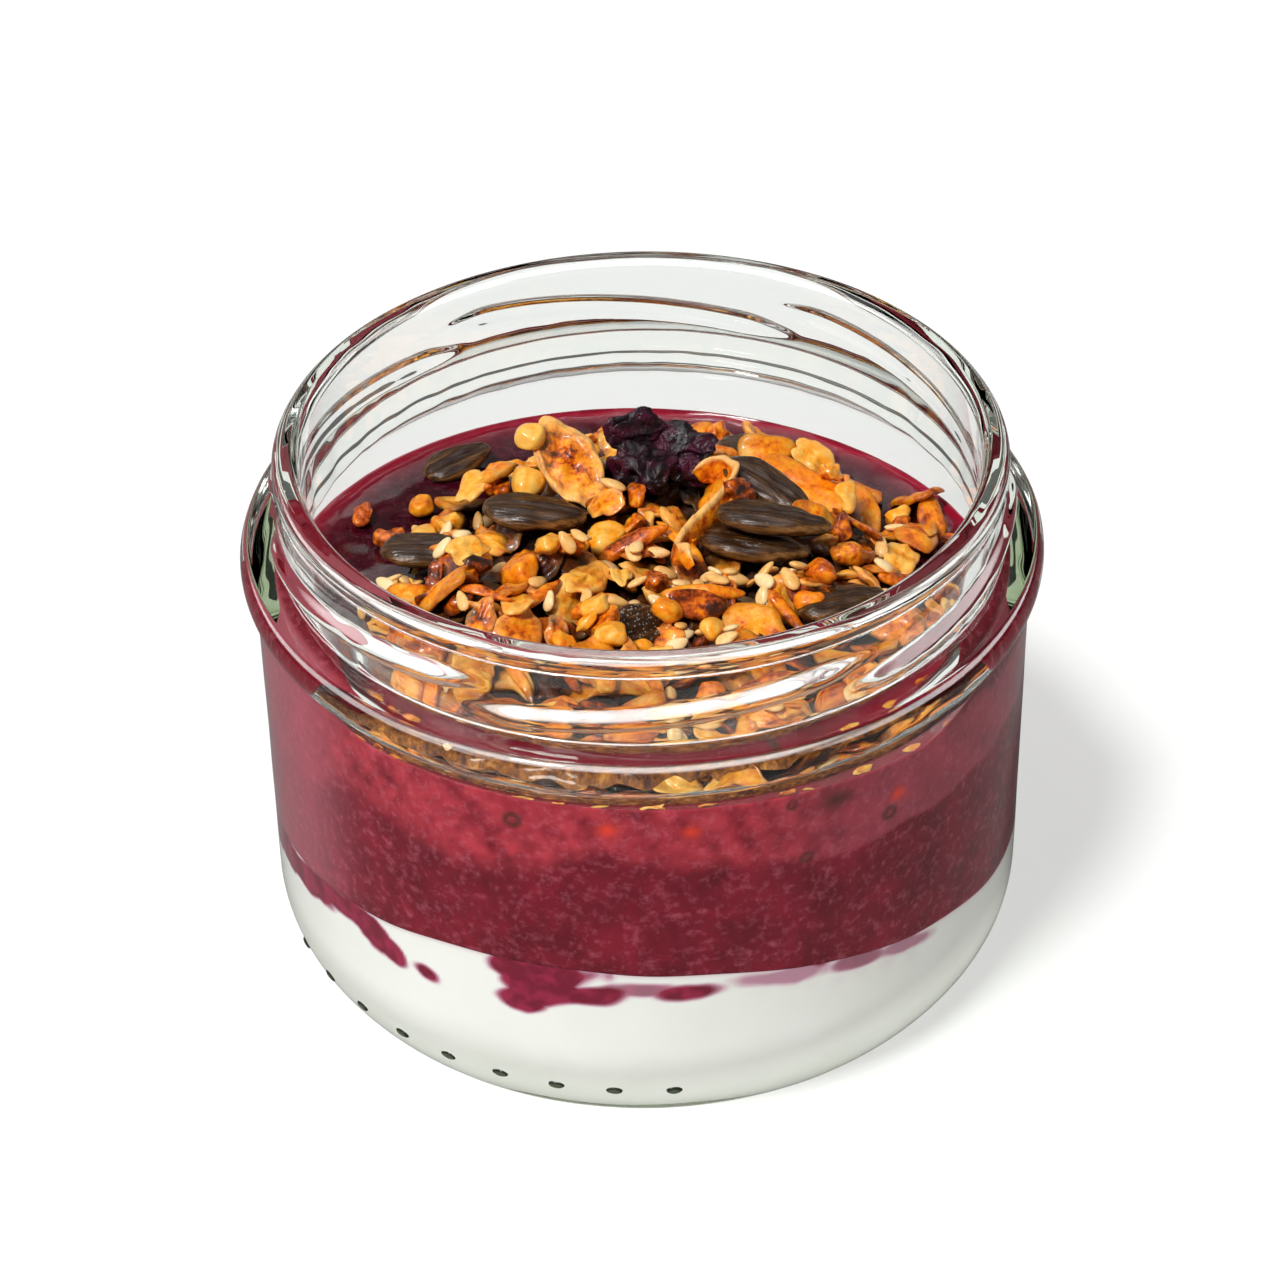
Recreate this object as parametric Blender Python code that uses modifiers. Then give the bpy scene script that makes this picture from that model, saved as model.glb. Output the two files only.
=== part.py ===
"""Layered yogurt and berry smoothie with granola, in a low twist-off glass jar.

Metres, +Z up. The origin is the centre of the jar's foot, on the surface it stands on.
-Y is the side that the jar is looked at from.
"""
import math

import bmesh
import bpy
from mathutils import Euler, Matrix, Vector

# ---- driving dimensions -------------------------------------------------------------------
GAP = 0.0003                    # clearance kept between touching solids
ROUND_STEPS = 48                # facets round every turned piece
MERGE = 0.00005                 # points of a turned piece closer than this become one
WELD = 0.00001                  # and in a finished mesh
SHARP_ANGLE = math.radians(50.0)

JAR_HEIGHT = 0.0648
LIP_RADIUS = 0.0390             # outside of the rolled lip
LIP_DROP = 0.0021               # height of the rolled lip
LIP_ROUND = 0.0012              # rounding on each side of the lip's crown
FILLET = 0.0004                 # small rounding where the neck meets the ledge
NECK_RADIUS = 0.0387
NECK_BORE = 0.0360              # inside radius of the mouth
LEDGE_HEIGHT = 0.0544           # top of the bead that the neck stands on
BEAD_RADIUS = 0.0430
BEAD_DEPTH = 0.0040             # height of the bead
BODY_TOP_RADIUS = 0.0416
BODY_LOW_RADIUS = 0.0413
WALL = 0.0025
SHOULDER_LOW = 0.0475           # where the inside starts to close in under the neck
SHOULDER_HIGH = 0.0517          # where it has reached the bore
HEEL_WIDTH = 0.0122             # the heel's rounding, measured inwards
HEEL_HEIGHT = 0.0119            # the heel's rounding, measured upwards
HEEL_POWER = 1.76               # a superellipse, a little flatter than a circle
PUSH_UP_RADIUS = 0.0245         # the hollow under the foot
PUSH_UP = 0.0014
PUSH_UP_EDGE = 0.0010           # width of the step from the foot into the hollow
PUSH_UP_SHARE = 0.8             # share of the hollow's height that the step takes
FLOOR_HEIGHT = 0.0052           # inside floor, at the centre
FLOOR_RADIUS = 0.0275

LUG_COUNT = 6                   # interrupted thread for a twist-off lid
LUG_SPAN = math.radians(66.0)
LUG_FIRST = math.radians(-119.0)
LUG_LOW = 0.0562                # height of a lug's middle at its low end
LUG_HIGH = 0.0598               # and at its high end
LUG_RADIUS = 0.0012             # a lug is a tapered half-round rib
LUG_TIP_RADIUS = 0.0004
LUG_TAPER = 0.16                # share of its length that tapers at each end
LUG_CLIMB = (0.1, 0.9)          # part of the ease curve that its climb follows
LUG_POINTS = 15

LAYER_MEAN = 0.0203             # height of the boundary between yogurt and smoothie
LAYER_TILT = (0.00335, math.radians(-125.0))
LAYER_SAG = (0.00215, math.radians(169.0))
SMOOTHIE_TOP = 0.0444           # at the jar's axis
SMOOTHIE_RISE = 0.0021          # how much higher it stands at the -Y wall
SMOOTHIE_LEFT_RISE = 0.0011     # and at the -X wall
FLAT_BAND = 0.0001              # points this close to a turned layer's flat face belong to it

HEAP_WALL_RADIUS = 0.0374       # the granola almost reaches the wall in front
HEAP_BACK_RADIUS = 0.0338       # and leaves smoothie bare behind
HEAP_LEFT_RADIUS = 0.0285       # and most of it on the left
HEAP_WALL_ENDS = 350.0          # direction in degrees where it starts to leave the wall
HEAP_BACK_EASE = 30.0           # degrees over which it does so
HEAP_LEFT_STARTS = 100.0        # direction where it draws in on the left
HEAP_LEFT_EASE = 25.0
HEAP_WALL_STARTS = 165.0        # direction where it goes back to the wall
HEAP_WALL_EASE = 40.0
HEAP_EDGE_BACK = 0.0022         # depth of the granola at its outline, behind
HEAP_EDGE_FRONT = 0.0052        # and where it is banked against the wall in front
HEAP_CROWN = 0.0060             # and in the middle
HEAP_SLOPE = 0.55               # share of its radius over which it rises to the middle
HEAP_FRONT_EASE = 0.030         # distance over which it banks up toward the front
HEAP_BUMP = 0.0010              # unevenness of its top
BUMP_ACROSS = 620.0             # waves of that unevenness, in radians a metre
BUMP_ALONG = 540.0
BUMP_SLANT = (310.0, 450.0)
BUMP_SLANT_SHARE = 0.6          # height of the slanting waves beside the others
BUMP_PHASES = (1.0, -0.6)
HEAP_CLEARANCE = 0.0007         # kept to the wall all round
HEAP_SHARES = (0.0, 0.2, 0.4, 0.58, 0.74, 0.88, 1.0)
HEAP_SIDE = (0.7, 0.35, 0.0)    # levels of its side, as shares of its depth there
LAYER_SHARES = (0.0, 0.3, 0.55, 0.8, 1.0)

SEED_DEPTH = 0.0023
SEED_POINT = 0.30               # how much narrower a seed gets toward its tip
SEED_ENDS = 0.10                # how much it draws in at both ends
FLAKE_CUP = 0.18                # rise of the flake's long sides, as a share of its width
SLICE_POINT = 0.22
SLICE_ENDS = 0.12
WRINKLE = 0.10                  # depth of the dried fruit's folds, as a share of its size
WRINKLE_TURNS = (9.0, 4.0, 7.0)
TOPPING_SEGMENTS = 10
TOPPING_RINGS = 6
BED_GAP = 1.3 * GAP             # room round a topping in the granola


# ---- helpers ------------------------------------------------------------------------------
def clear_scene():
    """Remove the objects that a new Blender file opens with."""
    for item in list(bpy.data.objects):
        bpy.data.objects.remove(item, do_unlink=True)


def new_collection(name):
    """Add a collection to the scene."""
    group = bpy.data.collections.new(name)
    bpy.context.scene.collection.children.link(group)
    return group


def new_material(name, colour, roughness, metallic=0.0, transmission=0.0):
    """A plain Principled material for one sub-part."""
    material = bpy.data.materials.new(name)
    material.use_nodes = True
    shader = material.node_tree.nodes["Principled BSDF"]
    shader.inputs["Base Color"].default_value = (*colour, 1.0)
    shader.inputs["Roughness"].default_value = roughness
    shader.inputs["Metallic"].default_value = metallic
    shader.inputs["Transmission Weight"].default_value = transmission
    return material


def arc(centre, radii, start, end, count, power=2.0):
    """Points of an ellipse (or a superellipse) from one angle to another, in degrees."""
    points = []
    for index in range(count):
        angle = math.radians(start + (end - start) * index / (count - 1))
        across = math.copysign(abs(math.cos(angle)) ** (2.0 / power), math.cos(angle))
        up = math.copysign(abs(math.sin(angle)) ** (2.0 / power), math.sin(angle))
        points.append((centre[0] + radii[0] * across, centre[1] + radii[1] * up))
    return points


def smooth_step(value):
    """Ease from 0 to 1."""
    value = min(1.0, max(0.0, value))
    return value * value * (3.0 - 2.0 * value)


def turned(name, profile, group):
    """A turned solid: a profile, running down its outer side, and a Screw modifier."""
    mesh = bpy.data.meshes.new(name)
    points = [(radius, 0.0, height) for radius, height in profile]
    mesh.from_pydata(points, [(index, index + 1) for index in range(len(points) - 1)], [])
    item = bpy.data.objects.new(name, mesh)
    group.objects.link(item)
    screw = item.modifiers.new("turn", "SCREW")
    screw.steps = ROUND_STEPS
    screw.render_steps = ROUND_STEPS
    screw.use_merge_vertices = True
    screw.merge_threshold = MERGE
    return item


def made_mesh(item, group):
    """Replace an object by a plain mesh object of its evaluated shape."""
    name = item.name
    depsgraph = bpy.context.evaluated_depsgraph_get()
    depsgraph.update()
    mesh = bpy.data.meshes.new_from_object(item.evaluated_get(depsgraph))
    matrix = item.matrix_world.copy()
    bpy.data.objects.remove(item, do_unlink=True)
    shell = bmesh.new()
    shell.from_mesh(mesh)
    bmesh.ops.remove_doubles(shell, verts=shell.verts, dist=WELD)
    bmesh.ops.recalc_face_normals(shell, faces=shell.faces)
    shell.to_mesh(mesh)
    shell.free()
    result = bpy.data.objects.new(name, mesh)
    result.matrix_world = matrix
    group.objects.link(result)
    return result


def dress(item, material):
    """Give a piece its material and smooth shading with kept edges."""
    item.data.materials.clear()
    item.data.materials.append(material)
    item.data.shade_smooth()
    item.data.set_sharp_from_angle(angle=SHARP_ANGLE)


def as_cutter(item):
    """Show a piece that only shapes others as a wire."""
    item.hide_render = True
    item.display_type = "WIRE"


def add_boolean(item, cutter, operation):
    """Cut a piece with another, or join the other to it."""
    boolean = item.modifiers.new(operation.lower(), "BOOLEAN")
    boolean.operation = operation
    boolean.solver = "EXACT"
    boolean.object = cutter


# ---- the jar ------------------------------------------------------------------------------
def bore_radius(height):
    """Inside radius of the jar, from its straight wall up into the neck."""
    share = (height - SHOULDER_LOW) / (SHOULDER_HIGH - SHOULDER_LOW)
    wide = BODY_TOP_RADIUS - WALL
    return wide + (NECK_BORE - wide) * smooth_step(share)


def jar_profile():
    """The wall's outline: from the inside floor up, over the lip, and down the outside."""
    inner_low = BODY_LOW_RADIUS - WALL
    inner_top = BODY_TOP_RADIUS - WALL
    heel_rise = HEEL_HEIGHT + WALL - FLOOR_HEIGHT
    inside = [(0.0, FLOOR_HEIGHT)]
    inside += arc((FLOOR_RADIUS, FLOOR_HEIGHT + heel_rise),
                  (inner_low - FLOOR_RADIUS, heel_rise), -90, 0, 6)
    inside.append((inner_top, SHOULDER_LOW))
    for share in (0.3, 0.55, 0.8):
        height = SHOULDER_LOW + (SHOULDER_HIGH - SHOULDER_LOW) * share
        inside.append((bore_radius(height), height))
    inside.append((NECK_BORE, SHOULDER_HIGH))
    crown = JAR_HEIGHT - LIP_ROUND
    inside += arc((NECK_BORE + LIP_ROUND, crown), (LIP_ROUND, LIP_ROUND), 180, 90, 4)
    outside = arc((LIP_RADIUS - LIP_ROUND, crown), (LIP_ROUND, LIP_ROUND), 90, 0, 4)
    outside.append((NECK_RADIUS, JAR_HEIGHT - LIP_DROP))
    outside.append((NECK_RADIUS, LEDGE_HEIGHT + FILLET))
    bead_centre = (BODY_TOP_RADIUS + FILLET / 2, LEDGE_HEIGHT - BEAD_DEPTH / 2)
    outside.append((NECK_RADIUS + FILLET, LEDGE_HEIGHT))
    outside += arc(bead_centre, (BEAD_RADIUS - bead_centre[0], BEAD_DEPTH / 2), 90, -75, 7)
    outside.append((BODY_TOP_RADIUS, LEDGE_HEIGHT - BEAD_DEPTH - FILLET))
    outside += arc((BODY_LOW_RADIUS - HEEL_WIDTH, HEEL_HEIGHT), (HEEL_WIDTH, HEEL_HEIGHT),
                   0, -90, 9, HEEL_POWER)
    outside.append((PUSH_UP_RADIUS + PUSH_UP_EDGE, 0.0))
    outside.append((PUSH_UP_RADIUS, PUSH_UP * PUSH_UP_SHARE))
    outside.append((0.0, PUSH_UP))
    return inside + outside


def add_lug(number, group):
    """One rib of the interrupted thread, a tapered rod that climbs round the neck."""
    curve = bpy.data.curves.new(f"lug_{number}", "CURVE")
    curve.dimensions = "3D"
    curve.bevel_depth = 1.0
    curve.bevel_resolution = 1
    curve.use_fill_caps = True
    spline = curve.splines.new("POLY")
    spline.points.add(LUG_POINTS - 1)
    for index, point in enumerate(spline.points):
        share = index / (LUG_POINTS - 1)
        swell = smooth_step(min(share, 1.0 - share) / LUG_TAPER)
        radius = LUG_TIP_RADIUS + (LUG_RADIUS - LUG_TIP_RADIUS) * swell
        angle = LUG_FIRST + 2.0 * math.pi * number / LUG_COUNT + LUG_SPAN * share
        eased = smooth_step(LUG_CLIMB[0] + (LUG_CLIMB[1] - LUG_CLIMB[0]) * share)
        climb = LUG_LOW + (LUG_HIGH - LUG_LOW) * eased
        centre = NECK_RADIUS - (1.0 - swell) * LUG_TIP_RADIUS
        point.co = (centre * math.cos(angle), centre * math.sin(angle), climb, 1.0)
        point.radius = radius
    item = bpy.data.objects.new(f"lug_{number}", curve)
    group.objects.link(item)
    return made_mesh(item, group)


def add_jar(group, cutters):
    """The glass jar: one turned wall with six lugs on its neck."""
    jar = turned("jar", jar_profile(), group)
    for number in range(LUG_COUNT):
        lug = add_lug(number, cutters)
        as_cutter(lug)
        add_boolean(jar, lug, "UNION")
    jar = made_mesh(jar, group)
    dress(jar, new_material("soda_lime_glass", (0.86, 0.92, 0.88), 0.03, 0.0, 1.0))
    return jar


# ---- the layers ---------------------------------------------------------------------------
def layer_height(x, y):
    """Height of the wavy boundary between the yogurt and the smoothie."""
    angle = math.atan2(y, x)
    reach = math.hypot(x, y) / (BODY_LOW_RADIUS - WALL)
    tilt = LAYER_TILT[0] * reach * math.cos(angle - LAYER_TILT[1])
    sag = LAYER_SAG[0] * reach * reach * math.cos(2.0 * angle - LAYER_SAG[1])
    return LAYER_MEAN + tilt + sag


def smoothie_top(x, y):
    """Height of the smoothie's top, which stands higher at the -Y and -X walls."""
    return SMOOTHIE_TOP - (SMOOTHIE_RISE * y + SMOOTHIE_LEFT_RISE * x) / (BODY_TOP_RADIUS - WALL)


def add_yogurt(group):
    """The lower layer: it follows the jar's rounded floor and ends in the wavy boundary."""
    radius = BODY_LOW_RADIUS - WALL - GAP
    floor = FLOOR_HEIGHT + GAP
    heel = HEEL_HEIGHT + WALL - FLOOR_HEIGHT
    profile = [(radius * share, LAYER_MEAN) for share in LAYER_SHARES]
    profile += arc((FLOOR_RADIUS - GAP, floor + heel), (radius - FLOOR_RADIUS + GAP, heel),
                   0, -90, 6)
    profile.append((0.0, floor))
    yogurt = made_mesh(turned("yogurt", profile, group), group)
    for point in yogurt.data.vertices:
        if point.co.z > LAYER_MEAN - FLAT_BAND:
            point.co.z = layer_height(point.co.x, point.co.y)
    dress(yogurt, new_material("thick_yogurt", (0.76, 0.77, 0.70), 0.35))
    return yogurt


def add_smoothie(group):
    """The upper layer, from the boundary to its own gently tilted top."""
    low_radius = BODY_LOW_RADIUS - WALL - GAP
    top_radius = BODY_TOP_RADIUS - WALL - GAP
    profile = [(0.0, SMOOTHIE_TOP), (top_radius, SMOOTHIE_TOP)]
    profile += [(low_radius * share, LAYER_MEAN) for share in reversed(LAYER_SHARES)]
    smoothie = made_mesh(turned("smoothie", profile, group), group)
    for point in smoothie.data.vertices:
        if point.co.z > SMOOTHIE_TOP - FLAT_BAND:
            point.co.z = smoothie_top(point.co.x, point.co.y)
        else:
            point.co.z = layer_height(point.co.x, point.co.y) + GAP
    dress(smoothie, new_material("berry_smoothie", (0.22, 0.016, 0.030), 0.25))
    return smoothie


# ---- the granola --------------------------------------------------------------------------
def heap_radius(angle):
    """How far the granola reaches from the jar's axis, by direction."""
    degrees = math.degrees(angle) % 360.0
    past = degrees - HEAP_WALL_ENDS if degrees > 180.0 else degrees + 360.0 - HEAP_WALL_ENDS
    radius = HEAP_WALL_RADIUS
    radius += (HEAP_BACK_RADIUS - HEAP_WALL_RADIUS) * smooth_step(past / HEAP_BACK_EASE)
    if degrees < HEAP_WALL_ENDS:
        left = smooth_step((degrees - HEAP_LEFT_STARTS) / HEAP_LEFT_EASE)
        wall = smooth_step((degrees - HEAP_WALL_STARTS) / HEAP_WALL_EASE)
        radius += (HEAP_LEFT_RADIUS - HEAP_BACK_RADIUS) * left
        radius += (HEAP_WALL_RADIUS - HEAP_LEFT_RADIUS) * wall
    return radius


def heap_depth(x, y, reach):
    """Depth of the granola; reach is 0 at the axis and 1 at the outline."""
    crown = smooth_step((1.0 - reach) / HEAP_SLOPE)
    front = smooth_step(0.5 - y / HEAP_FRONT_EASE)
    edge = HEAP_EDGE_BACK + (HEAP_EDGE_FRONT - HEAP_EDGE_BACK) * front
    bumps = math.sin(x * BUMP_ACROSS + BUMP_PHASES[0]) * math.cos(y * BUMP_ALONG + BUMP_PHASES[1])
    bumps += BUMP_SLANT_SHARE * math.sin(x * BUMP_SLANT[0] - y * BUMP_SLANT[1])
    return edge + (HEAP_CROWN - edge) * crown + HEAP_BUMP * bumps


def add_heap(group):
    """The granola as one solid out to its uneven outline."""
    outline = [(share, 1.0) for share in HEAP_SHARES]
    outline += [(1.0, level) for level in HEAP_SIDE]
    outline.append((0.0, 0.0))
    heap = made_mesh(turned("granola_heap", outline, group), group)
    for point in heap.data.vertices:
        reach = math.hypot(point.co.x, point.co.y)
        radius = heap_radius(math.atan2(point.co.y, point.co.x))
        level = point.co.z
        point.co.x *= radius
        point.co.y *= radius
        depth = heap_depth(point.co.x, point.co.y, reach)
        point.co.z = smoothie_top(point.co.x, point.co.y) + GAP + depth * level
        room = bore_radius(point.co.z) - HEAP_CLEARANCE
        squeeze = min(1.0, room / max(reach * radius, room))
        point.co.x *= squeeze
        point.co.y *= squeeze
    dress(heap, new_material("toasted_granola", (0.62, 0.33, 0.10), 0.55))
    return heap


def placed(item, place, turn):
    """Put a piece where it lies: place in metres, turn as roll, pitch and yaw in degrees."""
    item.location = Vector(place)
    item.rotation_euler = Euler([math.radians(value) for value in turn], "XYZ")


def shape_seed(point, size):
    """A pumpkin seed: a flat drop, round at one end and pointed at the other."""
    along = point.x
    width = (1.0 - SEED_POINT * along) * (1.0 - SEED_ENDS * along * along)
    return Vector((along * size[0] / 2, point.y * width * size[1] / 2, point.z * size[2] / 2))


def shape_flake(point, size):
    """A thin toasted flake, cupped along its length."""
    cup = FLAKE_CUP * size[1] * point.y * point.y
    return Vector((point.x * size[0] / 2, point.y * size[1] / 2, point.z * size[2] / 2 + cup))


def shape_slice(point, size):
    """A thin almond slice, pointed at one end."""
    width = 1.0 - SLICE_POINT * point.x - SLICE_ENDS * point.x * point.x
    return Vector((point.x * size[0] / 2, point.y * width * size[1] / 2, point.z * size[2] / 2))


def shape_fruit(point, size):
    """A wrinkled dried berry."""
    fold = math.sin(WRINKLE_TURNS[0] * point.x + WRINKLE_TURNS[1] * point.z)
    wrinkle = 1.0 + WRINKLE * fold * math.cos(WRINKLE_TURNS[2] * point.y)
    return Vector((point.x * size[0] / 2, point.y * size[1] / 2, point.z * size[2] / 2)) * wrinkle


def add_topping(name, shape, size, place, turn, group, material):
    """A loose topping, shaped from a sphere by its own rule."""
    ball = bmesh.new()
    bmesh.ops.create_uvsphere(ball, u_segments=TOPPING_SEGMENTS, v_segments=TOPPING_RINGS, radius=1.0,
                              matrix=Matrix.Rotation(math.radians(90.0), 4, "Y"))
    for point in ball.verts:
        point.co = shape(point.co.copy(), size)
    bmesh.ops.recalc_face_normals(ball, faces=ball.faces)
    mesh = bpy.data.meshes.new(name)
    ball.to_mesh(mesh)
    ball.free()
    item = bpy.data.objects.new(name, mesh)
    group.objects.link(item)
    placed(item, place, turn)
    dress(item, material)
    return item


def add_bed(item, cutters):
    """A slightly larger copy of a topping, which presses its bed into the granola."""
    bed = bpy.data.objects.new(item.name + "_bed", item.data.copy())
    for point in bed.data.vertices:
        point.co += point.normal * BED_GAP
    bed.location = item.location
    bed.rotation_euler = item.rotation_euler
    cutters.objects.link(bed)
    as_cutter(bed)
    return bed


# The toppings that are as large as berries: place is x, y, z; turn is roll, pitch, yaw.
SEEDS = (
    # length, width, place, turn
    (0.0086, 0.0046, (-0.0206, 0.0264, 0.0454), (6.0, -4.0, 32.0)),
    (0.0114, 0.0054, (-0.0227, 0.0031, 0.0488), (-4.0, 2.0, -2.0)),
    (0.0116, 0.0056, (-0.0115, 0.0072, 0.0506), (0.0, 3.0, -10.0)),
    (0.0108, 0.0054, (0.0136, 0.0227, 0.0480), (-8.0, 2.0, -2.0)),
    (0.0120, 0.0054, (0.0142, 0.0098, 0.0516), (0.0, 12.0, -38.0)),
    (0.0128, 0.0050, (0.0141, 0.0015, 0.0532), (-2.0, 2.0, -13.0)),
    (0.0122, 0.0056, (0.0119, 0.0010, 0.0503), (-2.0, 3.0, -15.0)),
    (0.0074, 0.0056, (-0.0004, -0.0141, 0.0506), (48.0, 10.0, 40.0)),
    (0.0102, 0.0056, (0.0211, -0.0084, 0.0496), (-8.0, 0.0, 16.0)),
)
SLICES = (
    # name, shape, size, place, turn
    ("toasted_flake", shape_flake, (0.0120, 0.0068, 0.0015),
     (-0.0079, 0.0141, 0.0524), (6.0, 28.0, -54.0)),
    ("almond_slice", shape_slice, (0.0116, 0.0070, 0.0013),
     (0.0183, 0.0141, 0.0484), (8.0, 8.0, -38.0)),
)
FRUIT = ("dried_berry", (0.0110, 0.0094, 0.0068), (0.0020, 0.0150, 0.0519), (0.0, 6.0, 12.0))


def add_toppings(group, heap, cutters):
    """Pumpkin seeds, slices and the dried fruit, each bedded in the granola."""
    green = new_material("roasted_pumpkin_seed", (0.10, 0.075, 0.040), 0.35)
    toast = new_material("toasted_slice", (0.70, 0.36, 0.10), 0.5)
    plum = new_material("dried_fruit", (0.035, 0.010, 0.020), 0.4)
    toppings = []
    for number, (length, width, place, turn) in enumerate(SEEDS, start=1):
        size = (length, width, SEED_DEPTH)
        toppings.append(add_topping(f"pumpkin_seed_{number}", shape_seed, size, place, turn,
                                    group, green))
    for name, shape, size, place, turn in SLICES:
        toppings.append(add_topping(name, shape, size, place, turn, group, toast))
    name, size, place, turn = FRUIT
    toppings.append(add_topping(name, shape_fruit, size, place, turn, group, plum))
    for item in toppings:
        add_boolean(heap, add_bed(item, cutters), "DIFFERENCE")
    return toppings


def main():
    """Build the jar and everything in it."""
    clear_scene()
    parts = new_collection("berry_smoothie_with_granola")
    cutters = new_collection("cutters")
    add_jar(parts, cutters)
    add_yogurt(parts)
    add_smoothie(parts)
    heap = add_heap(parts)
    add_toppings(parts, heap, cutters)


main()
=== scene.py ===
"""Berry smoothie with granola in a pressed glass jar: the looks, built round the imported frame."""

import logging
import math
import random
from dataclasses import dataclass, field, replace
from enum import Enum
from typing import Optional, Sequence

import bpy
import numpy as np
from mathutils import Euler, Matrix, Vector


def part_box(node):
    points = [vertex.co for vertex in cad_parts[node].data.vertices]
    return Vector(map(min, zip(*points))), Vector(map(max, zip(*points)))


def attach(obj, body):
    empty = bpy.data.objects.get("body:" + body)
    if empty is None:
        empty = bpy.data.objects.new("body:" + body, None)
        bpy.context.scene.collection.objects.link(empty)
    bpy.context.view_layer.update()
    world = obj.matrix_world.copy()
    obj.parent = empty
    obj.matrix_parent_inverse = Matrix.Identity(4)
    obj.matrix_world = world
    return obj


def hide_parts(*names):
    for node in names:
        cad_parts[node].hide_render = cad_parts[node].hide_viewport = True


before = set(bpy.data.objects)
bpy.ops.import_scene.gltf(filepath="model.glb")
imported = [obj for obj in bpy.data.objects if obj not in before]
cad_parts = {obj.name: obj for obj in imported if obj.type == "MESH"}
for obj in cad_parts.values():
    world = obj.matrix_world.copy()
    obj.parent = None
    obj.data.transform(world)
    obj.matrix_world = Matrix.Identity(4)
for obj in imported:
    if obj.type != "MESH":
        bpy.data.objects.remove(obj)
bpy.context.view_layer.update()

LOG = logging.getLogger("smoothie_jar")
MM = 0.001
TAU = 2.0 * math.pi
Stops = tuple[tuple[float, str], ...]
Profile = list[tuple[float, float]]
# Toasting, from burnt to pale: position and colour.
GOLD: Stops = ((0.0, "#3A1001"), (0.22, "#B24602"), (0.44, "#EE7C04"), (0.7, "#F9A016"), (0.95, "#F7BA50"))
CARAMEL: Stops = ((0.0, "#200802"), (0.26, "#8C3402"), (0.5, "#DC6A02"), (0.76, "#F29410"), (1.0, "#F8B844"))
SESAME: Stops = ((0.0, "#8A4A10"), (0.5, "#E8A850"), (0.8, "#F4C27C"), (1.0, "#F8D8A2"))
# Painted shade for the heap's hidden core, from near black up to tan.
CORE_SHADE: Stops = ((0.0, "#160601"), (0.4, "#4A1C04"), (0.75, "#9A5A1C"), (1.0, "#D09040"))


# ---------------------------------------------------------------- small tools


def linear(sheet: str) -> tuple[float, float, float, float]:
    """Turn an sRGB hex colour into linear RGBA.

    Args:
        sheet: colour such as "#A0C8B4".

    Returns:
        Linear red, green, blue and full alpha.
    """
    parts = [int(sheet[place : place + 2], 16) / 255.0 for place in (1, 3, 5)]
    curved = [c / 12.92 if c <= 0.04045 else ((c + 0.055) / 1.055) ** 2.4 for c in parts]
    return (*curved, 1.0)


def add_node(
    tree: bpy.types.NodeTree,
    kind: str,
    inputs: Optional[dict[str | int, object]] = None,
    stops: Optional[Stops] = None,
    **settings: object,
) -> bpy.types.Node:
    """Add one shader node with its settings and links.

    Args:
        tree: node tree that gets the node.
        kind: node type without its ShaderNode prefix.
        inputs: value, socket or node for each named or numbered input; a node gives its first output.
        stops: colour stops as position and hex colour, for a ramp.
        **settings: properties of the node itself.

    Returns:
        The new node.
    """
    node = tree.nodes.new("ShaderNode" + kind)
    for name, value in settings.items():
        setattr(node, name, value)
    for name, value in (inputs or {}).items():
        if isinstance(value, bpy.types.Node):
            value = value.outputs[0]
        if isinstance(value, bpy.types.NodeSocket):
            tree.links.new(value, node.inputs[name])
        else:
            node.inputs[name].default_value = value
    for number, (place, colour) in enumerate(stops or ()):
        elements = node.color_ramp.elements
        stop = elements[number] if number < 2 else elements.new(place)
        stop.position = place
        stop.color = linear(colour)
    return node


def spaced(tree: bpy.types.NodeTree, size: float, **more: object) -> dict[str, object]:
    """Inputs of a pattern that follows the piece, with its features size millimetres apart."""
    place = add_node(tree, "TexCoord").outputs["Object"]
    return {"Vector": place, "Scale": 1.0 / (size * MM), **more}


def mirrored(tree: bpy.types.NodeTree) -> bpy.types.Node:
    """1 for what the glass mirrors, and 0 for everything that is seen or lit in another way."""
    path = add_node(tree, "LightPath")
    rays = {0: path.outputs["Is Glossy Ray"], 1: path.outputs["Is Transmission Ray"]}
    return add_node(tree, "Math", rays, operation="SUBTRACT", use_clamp=True)


def smooth_step(value: np.ndarray | float) -> np.ndarray | float:
    """Ease from 0 to 1 as value goes from 0 to 1."""
    held = np.clip(value, 0.0, 1.0)
    return held * held * (3.0 - 2.0 * held)


def between(value: np.ndarray, start: float, grow: float, end: float, fade: float) -> np.ndarray:
    """Ease from 0 at start to 1 over grow, and back to 0 over fade at end."""
    return smooth_step((value - start) / grow) * smooth_step((end - value) / fade)


def waves(points: np.ndarray, size: float, seed: int, count: int = 12) -> np.ndarray:
    """Smooth random relief made of crossing waves.

    Args:
        points: places as rows of x, y, z.
        size: mean length of a wave, in the units of the points.
        seed: seed of the random directions.
        count: number of waves.

    Returns:
        One value for each point, mostly between -1 and 1.
    """
    draw = np.random.default_rng(seed)
    turns = draw.normal(size=(count, points.shape[1]))
    turns /= np.linalg.norm(turns, axis=1)[:, None]
    turns *= (TAU / size) * draw.uniform(0.6, 1.6, count)[:, None]
    shifts = draw.uniform(0.0, TAU, count)
    return np.sin(points @ turns.T + shifts).sum(axis=1) / math.sqrt(count)


def arc(
    centre: tuple[float, float],
    radii: tuple[float, float],
    start: float,
    end: float,
    count: int,
    power: float = 2.0,
) -> Profile:
    """Points along an arc of an ellipse, or of a squarer superellipse.

    Args:
        centre: radius and height of its centre.
        radii: half width and half height.
        start: first angle in degrees.
        end: last angle in degrees.
        count: number of steps.
        power: 2 for an ellipse.

    Returns:
        Radius and height of each point.
    """
    found = []
    for step in range(count + 1):
        angle = math.radians(start + (end - start) * step / count)
        across, up = math.cos(angle), math.sin(angle)
        across = math.copysign(abs(across) ** (2.0 / power), across)
        up = math.copysign(abs(up) ** (2.0 / power), up)
        found.append((centre[0] + radii[0] * across, centre[1] + radii[1] * up))
    return found


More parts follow.
